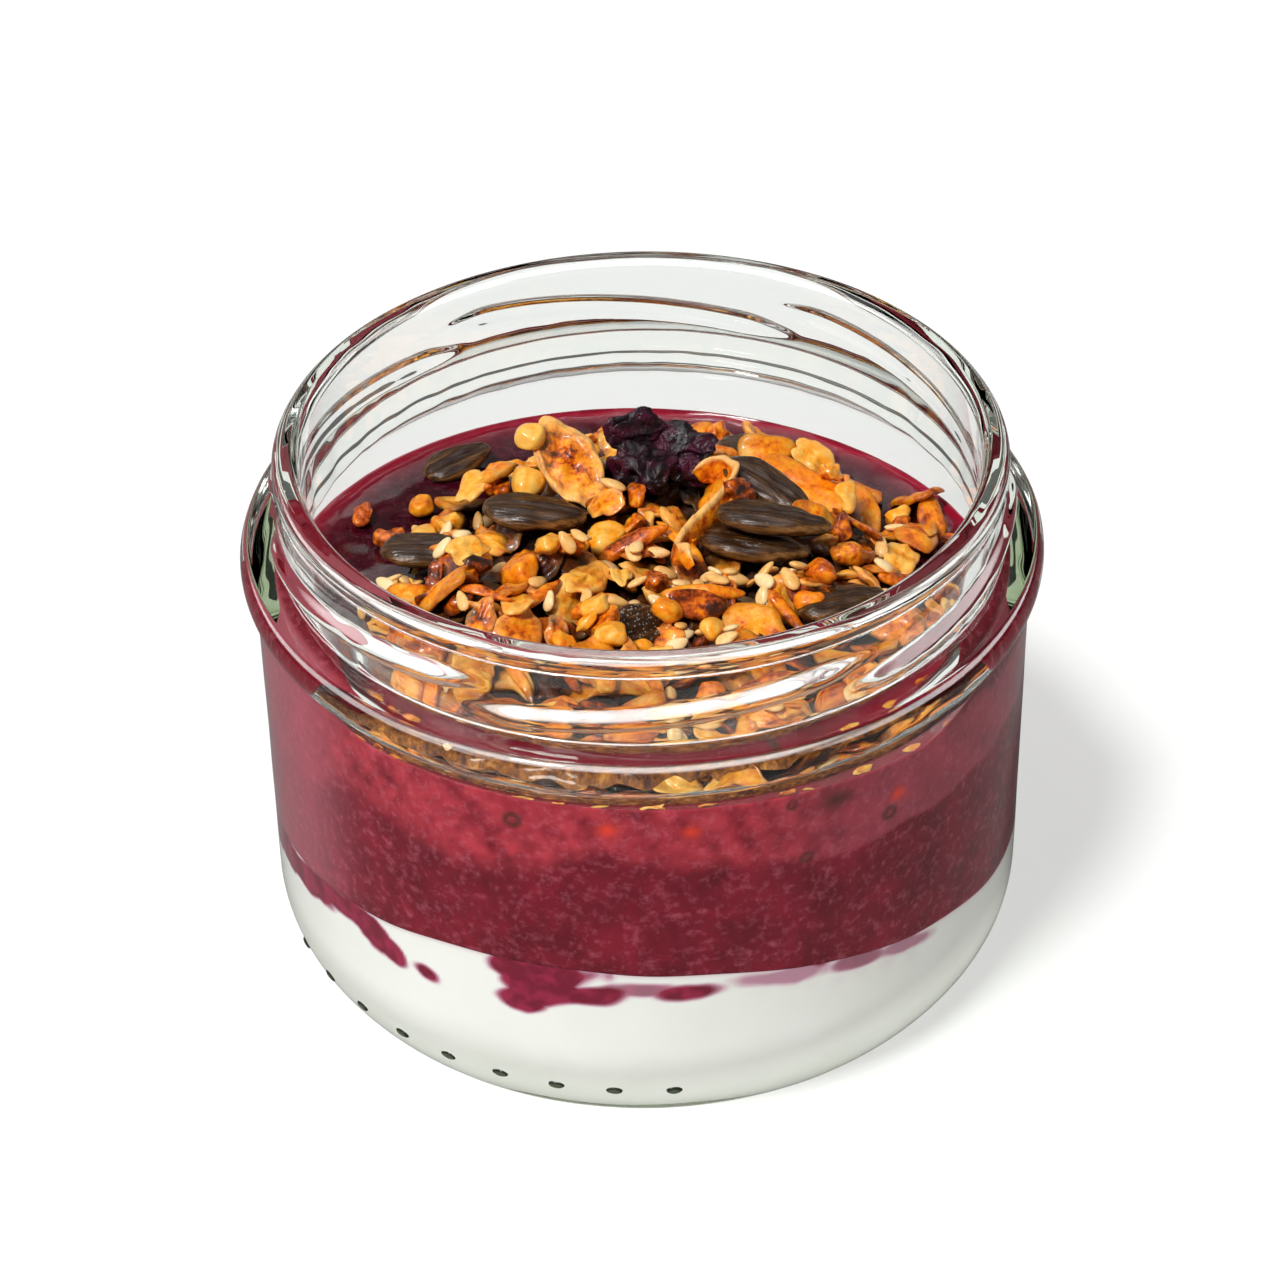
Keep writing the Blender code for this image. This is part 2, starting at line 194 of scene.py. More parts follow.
def ring_faces(rings: int, around: int, start: int = 0) -> list[tuple[int, ...]]:
    """Quads between rings of points that are stored one after another.

    Args:
        rings: number of rings.
        around: points in each ring.
        start: number of the first point.

    Returns:
        Corner numbers of each face.
    """
    faces = []
    for ring in range(rings - 1):
        low = start + ring * around
        high = low + around
        for place in range(around):
            after = (place + 1) % around
            faces.append((low + place, low + after, high + after, high + place))
    return faces


def cap_faces(ring: int, around: int, centre: int, upward: bool) -> list[tuple[int, ...]]:
    """Triangles from one ring of points to the point at its middle."""
    found = []
    for place in range(around):
        after = ring + (place + 1) % around
        found.append((ring + place, after, centre) if upward else (after, ring + place, centre))
    return found


def closed_faces(rings: int, around: int, downward: bool = False) -> list[tuple[int, ...]]:
    """Faces of a closed body made of rings, whose two middle points come after them.

    Args:
        rings: number of rings.
        around: points in each ring.
        downward: whether the rings run from its top down.

    Returns:
        Corner numbers of each face, all facing outward.
    """
    count = rings * around
    faces = ring_faces(rings, around)
    if downward:
        faces = [face[::-1] for face in faces]
    faces += cap_faces(0, around, count, downward)
    return faces + cap_faces(count - around, around, count + 1, not downward)


def ring_points(radius: np.ndarray | float, angle: np.ndarray, height: np.ndarray | float) -> np.ndarray:
    """Points of one ring round the axis."""
    return np.stack([radius * np.cos(angle), radius * np.sin(angle), height + 0.0 * angle], 1)


@dataclass
class Shape:
    """Points, faces and named values of a mesh before it becomes an object."""

    points: np.ndarray
    faces: list[tuple[int, ...]]
    values: dict[str, np.ndarray]
    slots: Optional[np.ndarray] = None

    def moved(self, place: Matrix) -> np.ndarray:
        """The points after a change of place."""
        turn = np.array(place)
        return self.points @ turn[:3, :3].T + turn[:3, 3]

    def show(self, name: str, finishes: Sequence["Finish"]) -> bpy.types.Object:
        """Make the object that carries this shape.

        Args:
            name: name of the piece.
            finishes: one finish for each face slot.

        Returns:
            The new object.
        """
        mesh = bpy.data.meshes.new(name)
        mesh.from_pydata(self.points.tolist(), [], self.faces)
        mesh.polygons.foreach_set("use_smooth", [True] * len(mesh.polygons))
        if self.slots is not None:
            mesh.polygons.foreach_set("material_index", self.slots.astype(np.int32))
        for label, numbers in self.values.items():
            layer = mesh.attributes.new(label, "FLOAT", "POINT")
            layer.data.foreach_set("value", numbers.astype(np.float32))
        for finish in finishes:
            mesh.materials.append(finish.material())
        mesh.update()
        piece = bpy.data.objects.new(name, mesh)
        bpy.context.scene.collection.objects.link(piece)
        return piece


def install(piece: bpy.types.Object, slot: str, *stands_for: str) -> bpy.types.Object:
    """Let a finished piece ride on the jar and stand for CAD nodes.

    Args:
        piece: the finished object, in place.
        slot: material slot of the record; not used.
        *stands_for: CAD nodes that it replaces.

    Returns:
        The same object.
    """
    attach(piece, "root")
    if stands_for:
        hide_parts(*stands_for)
    LOG.info("%s: %d faces", piece.name, len(piece.data.polygons))
    return piece


def joined(shapes: Sequence[Shape]) -> Shape:
    """Put many shapes, in millimetres, into one shape in metres."""
    starts = np.cumsum([0] + [len(shape.points) for shape in shapes]).tolist()
    faces = []
    for shape, start in zip(shapes, starts):
        faces += [tuple(corner + start for corner in face) for face in shape.faces]
    points = np.concatenate([shape.points for shape in shapes]) * MM
    values = {name: np.concatenate([shape.values[name] for shape in shapes]) for name in shapes[0].values}
    return Shape(points, faces, values)


# ------------------------------------------------------------------- finishes


@dataclass(frozen=True)
class Finish:
    """A surface finish, named for what the real one is."""

    name: str

    def material(self) -> bpy.types.Material:
        """The Blender material of this finish, made once."""
        found = bpy.data.materials.get(self.name)
        if found is None:
            found = bpy.data.materials.new(self.name)
            found.use_nodes = True
            found.node_tree.nodes.clear()
            self.dress(found.node_tree)
        return found

    def dress(self, tree: bpy.types.NodeTree) -> None:
        """Add the nodes of the finish to its tree."""
        raise NotImplementedError


@dataclass(frozen=True)
class PressedSodaLimeGlass(Finish):
    """Container glass, blown and pressed in an iron mould.

    It is clear across a wall, and grey-green where the eye looks along the rim or the bead.
    """

    ior: float = 1.52
    roughness: float = 0.0
    clear: str = "#F1F3F2"
    absorbed: str = "#B8DC92"
    strength: float = 9.0
    passed: str = "#FEFEFE"
    face_on: str = "#F4F4F4"

    def dress(self, tree: bpy.types.NodeTree) -> None:
        """Clear refraction with a green tint in its depth; lamps shine through it onto the food."""
        glass = add_node(tree, "BsdfPrincipled", {
            "Base Color": linear(self.clear), "Roughness": self.roughness, "IOR": self.ior,
            "Transmission Weight": 1.0, "Specular Tint": linear(self.face_on),
        })
        clear = add_node(tree, "BsdfTransparent", {"Color": linear(self.passed)})
        path = add_node(tree, "LightPath")
        either = add_node(
            tree,
            "Math",
            {0: path.outputs["Is Shadow Ray"], 1: path.outputs["Is Diffuse Ray"]},
            operation="MAXIMUM",
        )
        mixed = add_node(tree, "MixShader", {0: either, 1: glass, 2: clear})
        tint = add_node(tree, "VolumeAbsorption", {"Color": linear(self.absorbed), "Density": self.strength})
        add_node(tree, "OutputMaterial", {"Surface": mixed, "Volume": tint})


@dataclass(frozen=True)
class SetYogurt(Finish):
    """Thick plain yogurt, poured and set. It is matt, warm white, and faintly see-through at the skin."""

    white: str = "#F9F8F4"
    shade: str = "#F5F4EF"
    haze: str = "#CE9CB2"
    stain: str = "#9A2044"
    thick_stain: str = "#780E2C"
    lump: float = 9.0
    swirl: float = 2.2

    def dress(self, tree: bpy.types.NodeTree) -> None:
        """Cloudy white; where the value called berry is low it turns pink, and where high, crimson."""
        cloud = add_node(tree, "TexNoise", spaced(tree, self.lump, Detail=3.0))
        white = add_node(tree, "ValToRGB", {0: cloud}, stops=((0.35, self.shade), (0.65, self.white)))
        berry = add_node(tree, "Attribute", attribute_name="berry")
        swirl = add_node(tree, "TexNoise", spaced(tree, self.swirl, Detail=4.0))
        pulp = add_node(tree, "ValToRGB", {0: swirl}, stops=((0.38, self.stain), (0.56, self.thick_stain)))
        thin = add_node(tree, "MapRange", {0: berry.outputs["Fac"], 1: 0.0, 2: 0.5, 3: 0.0, 4: 1.0})
        thick = add_node(tree, "MapRange", {0: berry.outputs["Fac"], 1: 0.4, 2: 0.9, 3: 0.0, 4: 1.0})
        pink = add_node(tree, "Mix", {0: thin, 6: white, 7: linear(self.haze)}, data_type="RGBA")
        stained = add_node(tree, "Mix", {0: thick, 6: pink.outputs[2], 7: pulp}, data_type="RGBA")
        skin = add_node(tree, "BsdfPrincipled", {
            "Base Color": stained.outputs[2], "Roughness": 0.5, "Specular IOR Level": 0.1,
            "Subsurface Weight": 0.15, "Subsurface Radius": (1.0, 0.85, 0.7), "Subsurface Scale": 0.9 * MM,
        })
        add_node(tree, "OutputMaterial", {"Surface": skin})


@dataclass(frozen=True)
class BerryBlend(Finish):
    """Blended berries: deep crimson pulp with pale flecks, airier and redder near its top."""

    deep: str = "#62091A"
    body: str = "#84142A"
    airy: str = "#BE3A48"
    # Colour of the painted pale veil that stands for the glass's reflection over the pulp.
    painted_veil_colour: str = "#D2788A"
    fleck: str = "#D06C80"
    pip: str = "#C4687C"
    spark: str = "#F0421E"
    buried: str = "#2C2410"
    cloud: float = 5.0
    fleck_size: float = 1.1
    pip_pitch: float = 2.1
    grit: float = 0.34
    pip_share: float = 0.6
    gloss: float = 0.5
    roughness: float = 0.5

    def dress(self, tree: bpy.types.NodeTree) -> None:
        """Cloudy pulp; named values lead it to the airy band's colour with a painted lit edge on the open
        top, a painted pale veil of reflection, sparks and what is buried.
        """
        cloud = add_node(tree, "TexNoise", spaced(tree, self.cloud, Detail=7.0, Roughness=0.65))
        pulp = add_node(tree, "ValToRGB", {0: cloud}, stops=((0.36, self.deep), (0.64, self.body)))
        grains = add_node(tree, "TexNoise", spaced(tree, self.fleck_size, Detail=2.5, Roughness=0.7))
        grain = add_node(tree, "MapRange", {0: grains, 1: 0.5, 2: 0.76, 3: 0.0, 4: self.grit})
        seeds = add_node(tree, "TexVoronoi", spaced(tree, self.pip_pitch))
        pips = self.pip_share * self.grit
        seed = add_node(tree, "MapRange", {0: seeds, 1: 0.22, 2: 0.06, 3: 0.0, 4: pips})
        froth_and_lit_rim, painted_veil, spark, buried = (
            add_node(tree, "Attribute", attribute_name=name).outputs["Fac"]
            for name in ("froth_and_lit_rim", "painted_veil", "spark", "buried")
        )
        shares = [(froth_and_lit_rim, self.airy), (painted_veil, self.painted_veil_colour), (grain, self.fleck), (seed, self.pip)]
        shares += [(spark, self.spark), (buried, self.buried)]
        look = pulp
        for share, colour in shares:
            mixed = add_node(tree, "Mix", {0: share, 6: look, 7: linear(colour)}, data_type="RGBA")
            look = mixed.outputs[2]
        skin = add_node(tree, "BsdfPrincipled", {
            "Base Color": look, "Roughness": self.roughness, "Specular IOR Level": self.gloss,
            "Subsurface Weight": 0.2, "Subsurface Radius": (1.0, 0.2, 0.25), "Subsurface Scale": 0.8 * MM,
        })
        add_node(tree, "OutputMaterial", {"Surface": skin})


@dataclass(frozen=True)
class PaleBoard(Finish):
    """A matt white board on a light table: it glows softly, so shadows on it stay pale.

    What shines back from the glass sees it dimmer, as if black cards stood round the jar.
    """

    colour: str = "#BFBFBE"
    shade: str = "#BDBDBC"
    dimmed: str = "#7C7C7C"
    glow: float = 0.46
    cloud: float = 1.0 / 3.0

    def dress(self, tree: bpy.types.NodeTree) -> None:
        """Almost even white with the faintest cloud."""
        place = add_node(tree, "TexCoord")
        cloud = add_node(tree, "TexNoise", {"Vector": place.outputs["Object"], "Scale": 1.0 / self.cloud})
        paint = add_node(tree, "ValToRGB", {0: cloud}, stops=((0.0, self.shade), (1.0, self.colour)))
        skin = add_node(tree, "BsdfPrincipled", {
            "Base Color": paint, "Roughness": 0.8, "Specular IOR Level": 0.0,
            "Emission Color": linear("#FFFFFF"), "Emission Strength": self.glow,
        })
        dim = add_node(tree, "BsdfDiffuse", {"Color": linear(self.dimmed)})
        both = add_node(tree, "MixShader", {0: mirrored(tree), 1: skin, 2: dim})
        add_node(tree, "OutputMaterial", {"Surface": both})


@dataclass(frozen=True)
class ToastedFood(Finish):
    """Oven-toasted, honey-glazed food: mottled from cream to burnt, with a thin sugary shine."""

    stops: Stops = GOLD
    rim: str = "#8A430F"
    rim_share: float = 0.35
    # Colour of the painted shade on what lies deep between other bits.
    painted_shade_colour: str = "#2C0E02"
    mottle: float = 1.6
    spread: float = 0.5
    pits: float = 0.14
    relief: float = 0.2
    relief_size: float = 0.6
    roughness: float = 0.42
    shine: float = 0.28
    glaze: float = 0.2
    glow: float = 0.06

    def dress(self, tree: bpy.types.NodeTree) -> None:
        """Tone plus mottling picks the colour; the rim differs; what lies deep between other bits gets
        painted shade.
        """
        tone = add_node(tree, "Attribute", attribute_name="tone")
        rim = add_node(tree, "Attribute", attribute_name="rim")
        mottle = add_node(tree, "TexNoise", spaced(tree, self.mottle, Detail=5.0, Roughness=0.68))
        grain = add_node(tree, "TexNoise", spaced(tree, self.relief_size, Detail=3.0))
        centred = add_node(tree, "MapRange", {0: mottle, 1: 0.25, 2: 0.75, 3: -self.spread, 4: self.spread})
        pitted = add_node(tree, "MapRange", {0: grain, 1: 0.3, 2: 0.7, 3: -self.pits, 4: self.pits})
        uneven = add_node(tree, "Math", {0: pitted, 1: centred}, operation="ADD")
        level = add_node(tree, "Math", {0: tone.outputs["Fac"], 1: uneven}, operation="ADD")
        colour = add_node(tree, "ValToRGB", {0: level}, stops=self.stops)
        share = add_node(tree, "Math", {0: rim.outputs["Fac"], 1: self.rim_share}, operation="MULTIPLY")
        edged = add_node(tree, "Mix", {0: share, 6: colour, 7: linear(self.rim)}, data_type="RGBA")
        # Painted shade: the value called sunk darkens what lies deep between other bits.
        sunk = add_node(tree, "Attribute", attribute_name="sunk")
        deep_shaded = add_node(
            tree,
            "Mix",
            {0: sunk.outputs["Fac"], 6: edged.outputs[2], 7: linear(self.painted_shade_colour)},
            data_type="RGBA",
        )
        raised = add_node(tree, "Bump", {"Height": grain, "Strength": 1.0, "Distance": self.relief * MM})
        skin = add_node(tree, "BsdfPrincipled", {
            "Base Color": deep_shaded.outputs[2], "Roughness": self.roughness, "Specular IOR Level": self.shine,
            "Normal": raised, "Coat Weight": self.glaze, "Coat Roughness": 0.15,
            "Subsurface Weight": self.glow, "Subsurface Radius": (1.0, 0.45, 0.15),
            "Subsurface Scale": 0.8 * MM,
        })
        add_node(tree, "OutputMaterial", {"Surface": skin})


@dataclass(frozen=True)
class VeinedSeedSkin(Finish):
    """Roasted skin of a pumpkin seed: long veins, dark between them, with a waxy shine."""

    stops: Stops = ((0.0, "#0E0502"), (0.42, "#241006"), (0.58, "#42280F"), (0.8, "#885C30"))
    vein: float = 0.6
    stretch: float = 0.1
    relief: float = 0.22
    sugar: str = "#C4CCC4"
    sugar_grain: float = 0.38
    sparkle: float = 0.0

    def dress(self, tree: bpy.types.NodeTree) -> None:
        """Noise drawn out along the seed makes the veins; sugar, where there is any, sparkles."""
        place = add_node(tree, "TexCoord")
        drawn = add_node(tree, "Mapping", {
            "Vector": place.outputs["Object"], "Scale": (self.stretch, 1.0, 1.0),
        })
        veins = add_node(tree, "TexNoise", {
            "Vector": drawn, "Scale": 1.0 / (self.vein * MM), "Detail": 4.0, "Roughness": 0.65,
        })
        rim = add_node(tree, "Attribute", attribute_name="rim")
        lifted = add_node(tree, "MapRange", {0: rim.outputs["Fac"], 1: 0.55, 2: 1.0, 3: 0.0, 4: 0.16})
        level = add_node(tree, "Math", {0: veins, 1: lifted}, operation="ADD")
        colour = add_node(tree, "ValToRGB", {0: level}, stops=self.stops)
        sugar = add_node(tree, "TexVoronoi", spaced(tree, self.sugar_grain))
        grains = add_node(tree, "MapRange", {0: sugar, 1: 0.34, 2: 0.2, 3: 0.0, 4: self.sparkle})
        sweet = add_node(tree, "Mix", {0: grains, 6: colour, 7: linear(self.sugar)}, data_type="RGBA")
        raised = add_node(tree, "Bump", {"Height": veins, "Strength": 0.8, "Distance": self.relief * MM})
        skin = add_node(tree, "BsdfPrincipled", {
            "Base Color": sweet.outputs[2], "Roughness": 0.26, "Specular IOR Level": 0.4, "Normal": raised,
        })
        add_node(tree, "OutputMaterial", {"Surface": skin})


@dataclass(frozen=True)
class DriedFruitSkin(Finish):
    """A shrivelled dark fruit: almost black, purple where its folds catch the light."""

    dark: str = "#12040A"
    fold: str = "#541030"
    patch: float = 2.2
    wrinkle: float = 1.0
    relief: float = 0.32

    def dress(self, tree: bpy.types.NodeTree) -> None:
        """Dark skin, redder in patches, with fine wrinkles."""
        patches = add_node(tree, "TexNoise", spaced(tree, self.patch, Detail=5.0))
        colour = add_node(tree, "ValToRGB", {0: patches}, stops=((0.45, self.dark), (0.75, self.fold)))
        wrinkles = add_node(tree, "TexNoise", spaced(tree, self.wrinkle, Detail=6.0, Distortion=1.6))
        raised = add_node(tree, "Bump", {"Height": wrinkles, "Strength": 1.0, "Distance": self.relief * MM})
        skin = add_node(tree, "BsdfPrincipled", {
            "Base Color": colour, "Roughness": 0.26, "Specular IOR Level": 0.42, "Normal": raised,
        })
        add_node(tree, "OutputMaterial", {"Surface": skin})


@dataclass(frozen=True)
class RimmedSpot(Finish):
    """A small round spot in or on the glass, with a rim of another colour; on the mould dots its dark greens
    are painted shade, the dark look refraction gives clear glass dots.
    """

    middle: str = "#4A5440"
    rim: str = "#1E2418"
    cloud: float = 0.8
    roughness: float = 0.2

    def dress(self, tree: bpy.types.NodeTree) -> None:
        """Cloudy middle that turns to the rim's colour at its edge."""
        edge = add_node(tree, "Attribute", attribute_name="rim")
        cloud = add_node(tree, "TexNoise", spaced(tree, self.cloud, Detail=2.0))
        uneven = add_node(tree, "MapRange", {0: cloud, 1: 0.3, 2: 0.7, 3: -0.2, 4: 0.2})
        level = add_node(tree, "Math", {0: edge.outputs["Fac"], 1: uneven}, operation="ADD")
        colour = add_node(tree, "ValToRGB", {0: level}, stops=((0.25, self.middle), (0.6, self.rim)))
        skin = add_node(tree, "BsdfPrincipled", {"Base Color": colour, "Roughness": self.roughness})
        add_node(tree, "OutputMaterial", {"Surface": skin})


# ------------------------------------------------------------------ the jar


@dataclass
class GlassJar:
    """The jar: its turned wall, the rim, the ledge with its bead, and six thread lugs; in metres."""

    height: float = 64.8 * MM
    lip_radius: float = 39.0 * MM
    lip_drop: float = 2.1 * MM
    lip_round: float = 1.2 * MM
    lip_under: tuple[float, float] = (0.3 * MM, 0.25 * MM)
    neck_radius: float = 38.7 * MM
    neck_bore: float = 36.0 * MM
    ledge_height: float = 54.4 * MM
    ledge_fillet: float = 0.5 * MM
    bead_radius: float = 43.0 * MM
    bead_depth: float = 4.0 * MM
    bead_inset: float = 0.2 * MM
    bead_end: float = -68.0
    top_radius: float = 41.6 * MM
    low_radius: float = 41.3 * MM
    wall: float = 2.5 * MM
    shoulder_low: float = 47.5 * MM
    shoulder_high: float = 51.7 * MM
    heel_width: float = 12.2 * MM
    heel_height: float = 11.9 * MM
    heel_power: float = 1.76
    push_up_radius: float = 24.5 * MM
    push_up: float = 1.4 * MM
    foot_width: float = 1.0 * MM
    floor_height: float = 5.2 * MM
    floor_radius: float = 27.5 * MM
    lug_count: int = 6
    lug_span: float = math.radians(66.0)
    lug_first: float = math.radians(-119.0)
    lug_low: float = 56.2 * MM
    lug_high: float = 59.8 * MM
    lug_rise: float = 1.15 * MM
    lug_half: float = 1.6 * MM
    lug_taper: float = 0.16
    waver: float = 0.02 * MM
    streak: float = 0.045 * MM
    around: int = 384

    def bore(self, height: np.ndarray | float) -> np.ndarray | float:
        """Radius of the inner wall at a height above the curved heel."""
        low_start = self.floor_height + self.heel_rise
        share = np.clip((height - low_start) / (self.shoulder_low - low_start), 0.0, 1.0)
        wide = self.low_radius + (self.top_radius - self.low_radius) * share - self.wall
        narrow = smooth_step((height - self.shoulder_low) / (self.shoulder_high - self.shoulder_low))
        return wide + (self.neck_bore - wide) * narrow

    @property
    def heel_rise(self) -> float:
        """Height of the curve that joins the inner floor to the inner wall."""
        return self.heel_height + self.wall - self.floor_height

    def inside_heel(self, grow: float, count: int) -> Profile:
        """The inner floor's curved edge, moved outward into the glass by grow."""
        centre = (self.floor_radius, self.floor_height + self.heel_rise)
        radii = (self.low_radius - self.wall - self.floor_radius + grow, self.heel_rise + grow)
        return arc(centre, radii, -90.0, 0.0, count)

    def inside(self) -> Profile:
        """Inner profile from the middle of the floor to the top of the lip."""
        found = [(0.0, self.floor_height), (self.floor_radius * 0.5, self.floor_height)]
        found += self.inside_heel(0.0, 18)
        # Each step up the wall takes a growing share of what is left.
        for step in range(1, 15):
            height = found[-1][1] + (self.shoulder_low - found[-1][1]) * step / 14.0
            found.append((float(self.bore(height)), height))
        for step in range(1, 13):
            height = self.shoulder_low + (self.shoulder_high - self.shoulder_low) * step / 12.0
            found.append((float(self.bore(height)), height))
        crown = self.height - self.lip_round
        for step in range(1, 6):
            height = self.shoulder_high + (crown - self.shoulder_high) * step / 6.0
            found.append((self.neck_bore, height))
        centre = (self.neck_bore + self.lip_round, crown)
        found += arc(centre, (self.lip_round, self.lip_round), 180.0, 90.0, 10)
        return found

    def outside(self) -> Profile:
        """Outer profile from the lip down to the middle of the push-up."""
        crown = self.height - self.lip_round
        found = arc(
            (self.lip_radius - self.lip_round, crown), (self.lip_round, self.lip_round), 90.0, 0.0, 10
        )
        drop = self.height - self.lip_drop
        wide, tall = self.lip_under
        found += arc((self.neck_radius + wide, drop + tall), (wide, tall), 270.0, 180.0, 3)[::-1]
        fillet = self.ledge_fillet
        rows = 54
        low = self.ledge_height + fillet
        for step in range(1, rows):
            found.append((self.neck_radius, drop + (low - drop) * step / rows))
        found += arc((self.neck_radius + fillet, low), (fillet, fillet), 180.0, 270.0, 6)
        bead_centre = (self.top_radius + self.bead_inset, self.ledge_height - self.bead_depth / 2.0)
        bead_radii = (self.bead_radius - bead_centre[0], self.bead_depth / 2.0)
        found.append(((found[-1][0] + bead_centre[0]) / 2.0, self.ledge_height))
        found += arc(bead_centre, bead_radii, 90.0, self.bead_end, 22)
        bead_foot = self.ledge_height - self.bead_depth
        found.append((self.top_radius + 0.08 * MM, bead_foot - 0.25 * MM))
        found.append((self.top_radius, bead_foot - 0.7 * MM))
        start = found[-1][1]
        for step in range(1, 25):
            share = step / 25.0
            height = start + (self.heel_height - start) * share
            found.append((self.top_radius + (self.low_radius - self.top_radius) * share, height))
        heel = (self.heel_width, self.heel_height)
        heel_centre = (self.low_radius - self.heel_width, self.heel_height)
        found += arc(heel_centre, heel, 0.0, -90.0, 30, self.heel_power)
        found.append((self.push_up_radius + self.foot_width, 0.0))
        found.append((self.push_up_radius + 0.3 * MM, self.push_up * 0.5))
        found.append((self.push_up_radius - 0.4 * MM, self.push_up * 0.85))
        found.append((self.push_up_radius * 0.5, self.push_up))
        found.append((0.0, self.push_up))
        return found

    def lug_swell(self, angle: np.ndarray, height: float) -> np.ndarray:
        """How far the thread lugs stand out from the neck.

        Args:
            angle: angles round the jar.
            height: height of the ring of points.

        Returns:
            The rise at each angle.
        """
        rise = np.zeros_like(angle)
        for number in range(self.lug_count):
            start = self.lug_first + TAU * number / self.lug_count
            share = np.mod(angle - start, TAU) / self.lug_span
            climb = self.lug_low + (self.lug_high - self.lug_low) * smooth_step(share * 0.8 + 0.1)
            swell = smooth_step(np.minimum(share, 1.0 - share) / self.lug_taper)
            half = self.lug_half * (0.45 + 0.55 * swell)
            across = np.clip(np.abs(height - climb) / half, 0.0, 1.0)
            rise = np.maximum(rise, self.lug_rise * swell * np.cos(across * math.pi / 2.0) ** 1.5)
        return rise

    def build(self) -> bpy.types.Object:
        """Turn the profile, raise the lugs and let the wall waver as pressed glass does."""
        inner, outer = self.inside()[1:], self.outside()[:-1]
        profile = inner + outer
        angle = np.arange(self.around) * TAU / self.around
        rings = []
        for number, (radius, height) in enumerate(profile):
            on_neck = self.ledge_height + self.ledge_fillet < height < self.height - self.lip_drop
            swell = self.lug_swell(angle, height) if number >= len(inner) and on_neck else 0.0
            rings.append(ring_points(radius + swell, angle, height))
        points = self.wavering(np.concatenate(rings), len(inner) * self.around)
        faces = closed_faces(len(profile), self.around, True)
        points = np.vstack([points, [0.0, 0.0, self.floor_height], [0.0, 0.0, self.push_up]])
        glass = PressedSodaLimeGlass("pressed_soda_lime_glass")
        return install(Shape(points, faces, {}).show("jar_glass", [glass]), "jar_glass", "jar")

    def wavering(self, points: np.ndarray, outer: int) -> np.ndarray:
        """Let the wall waver: gently outside, and in upright streaks inside, most at the shoulder.

        Args:
            points: points of the wall.
            outer: number of the first point on its outer face.

        Returns:
            The moved points.
        """
        reach = np.linalg.norm(points[:, :2], axis=1)
        height = points[:, 2]
        streaks = waves(points * (1.0, 1.0, 0.2), 4.5 * MM, 5) * smooth_step(
            (60.0 * MM - height) / (4.0 * MM)
        )
        streaks *= 1.0 + 0.9 * smooth_step((height - 49.0 * MM) / (3.0 * MM))
        gentle = waves(points, 14.0 * MM, 3) * self.waver
        shift = np.where(np.arange(len(points)) >= outer, gentle, streaks * self.streak)
        shift *= smooth_step((reach - 30.0 * MM) / (6.0 * MM))
        points[:, :2] *= (1.0 + shift / np.maximum(reach, 1.0 * MM))[:, None]
        return points


# ------------------------------------------------------------- what fills it


@dataclass(frozen=True)
class Tongue:
    """A tongue of smoothie that has run into the yogurt at the glass: degrees and millimetres."""

    turn: float
    height: float
    wide: float
    tall: float
    slope: float = 0.0
    strength: float = 0.95


TONGUES = (
    Tongue(-168.0, 19.4, 14.0, 5.0, 0.1),
    Tongue(-155.0, 20.4, 13.0, 3.8, 0.1),
    Tongue(-145.5, 21.8, 10.0, 3.0, 0.0),
    Tongue(-138.0, 21.6, 7.4, 4.2, -0.25),
    Tongue(-132.5, 20.2, 4.0, 3.0, -0.3),
    Tongue(-126.0, 19.6, 3.2, 2.0, -0.2),
    Tongue(-106.0, 24.4, 12.0, 4.6, 0.0),
    Tongue(-106.0, 22.2, 9.4, 4.8, 0.0),
    Tongue(-109.5, 20.2, 5.4, 3.2, 0.0),
    Tongue(-99.5, 22.0, 11.0, 3.0, 0.16, 0.9),
    Tongue(-92.0, 23.0, 8.0, 1.9, 0.0, 0.7),
    Tongue(-84.5, 22.5, 7.0, 2.0, 0.03, 0.9),
    Tongue(-68.0, 22.5, 12.0, 2.4, -0.14, 0.5),
    Tongue(-57.0, 21.2, 8.0, 2.2, -0.16, 0.7),
    Tongue(-47.0, 19.9, 9.0, 2.0, -0.2, 0.55),
)
# Lower edge of the airy band at the glass: direction in degrees, height in millimetres.
AIRY_EDGE = (
    (-180.0, 34.0), (-152.0, 35.0), (-140.0, 40.0), (-131.0, 40.0), (-119.0, 37.0), (-108.0, 38.5),
    (-97.0, 41.5), (-74.0, 39.0), (-60.0, 36.6), (-45.0, 37.0), (-24.0, 38.0), (0.0, 39.0), (90.0, 39.0),
)


@dataclass(frozen=True)
class Spot:
    """Something seen in the smoothie through the wall: degrees and millimetres; bubbles are hollow."""

    turn: float
    height: float
    wide: float
    tall: float
    hollow: bool = False


# Bits of red fruit skin that glow.
SPARKS = (Spot(-95.7, 44.6, 1.9, 1.6), Spot(-83.6, 44.2, 1.6, 1.4), Spot(-50.2, 41.6, 1.7, 1.5))
# Air bubbles at the glass, drawn as painted dark rings for how refraction darkens their edge, and one pumpkin
# seed under the surface.
BURIED = (
    Spot(-109.8, 44.5, 1.4, 1.4, True),
    Spot(-51.7, 39.6, 1.3, 1.3, True),
    Spot(-68.5, 45.4, 0.9, 0.9, True),
    Spot(-66.1, 38.0, 1.0, 1.0, True),
    Spot(-61.0, 44.4, 3.6, 2.4),
)


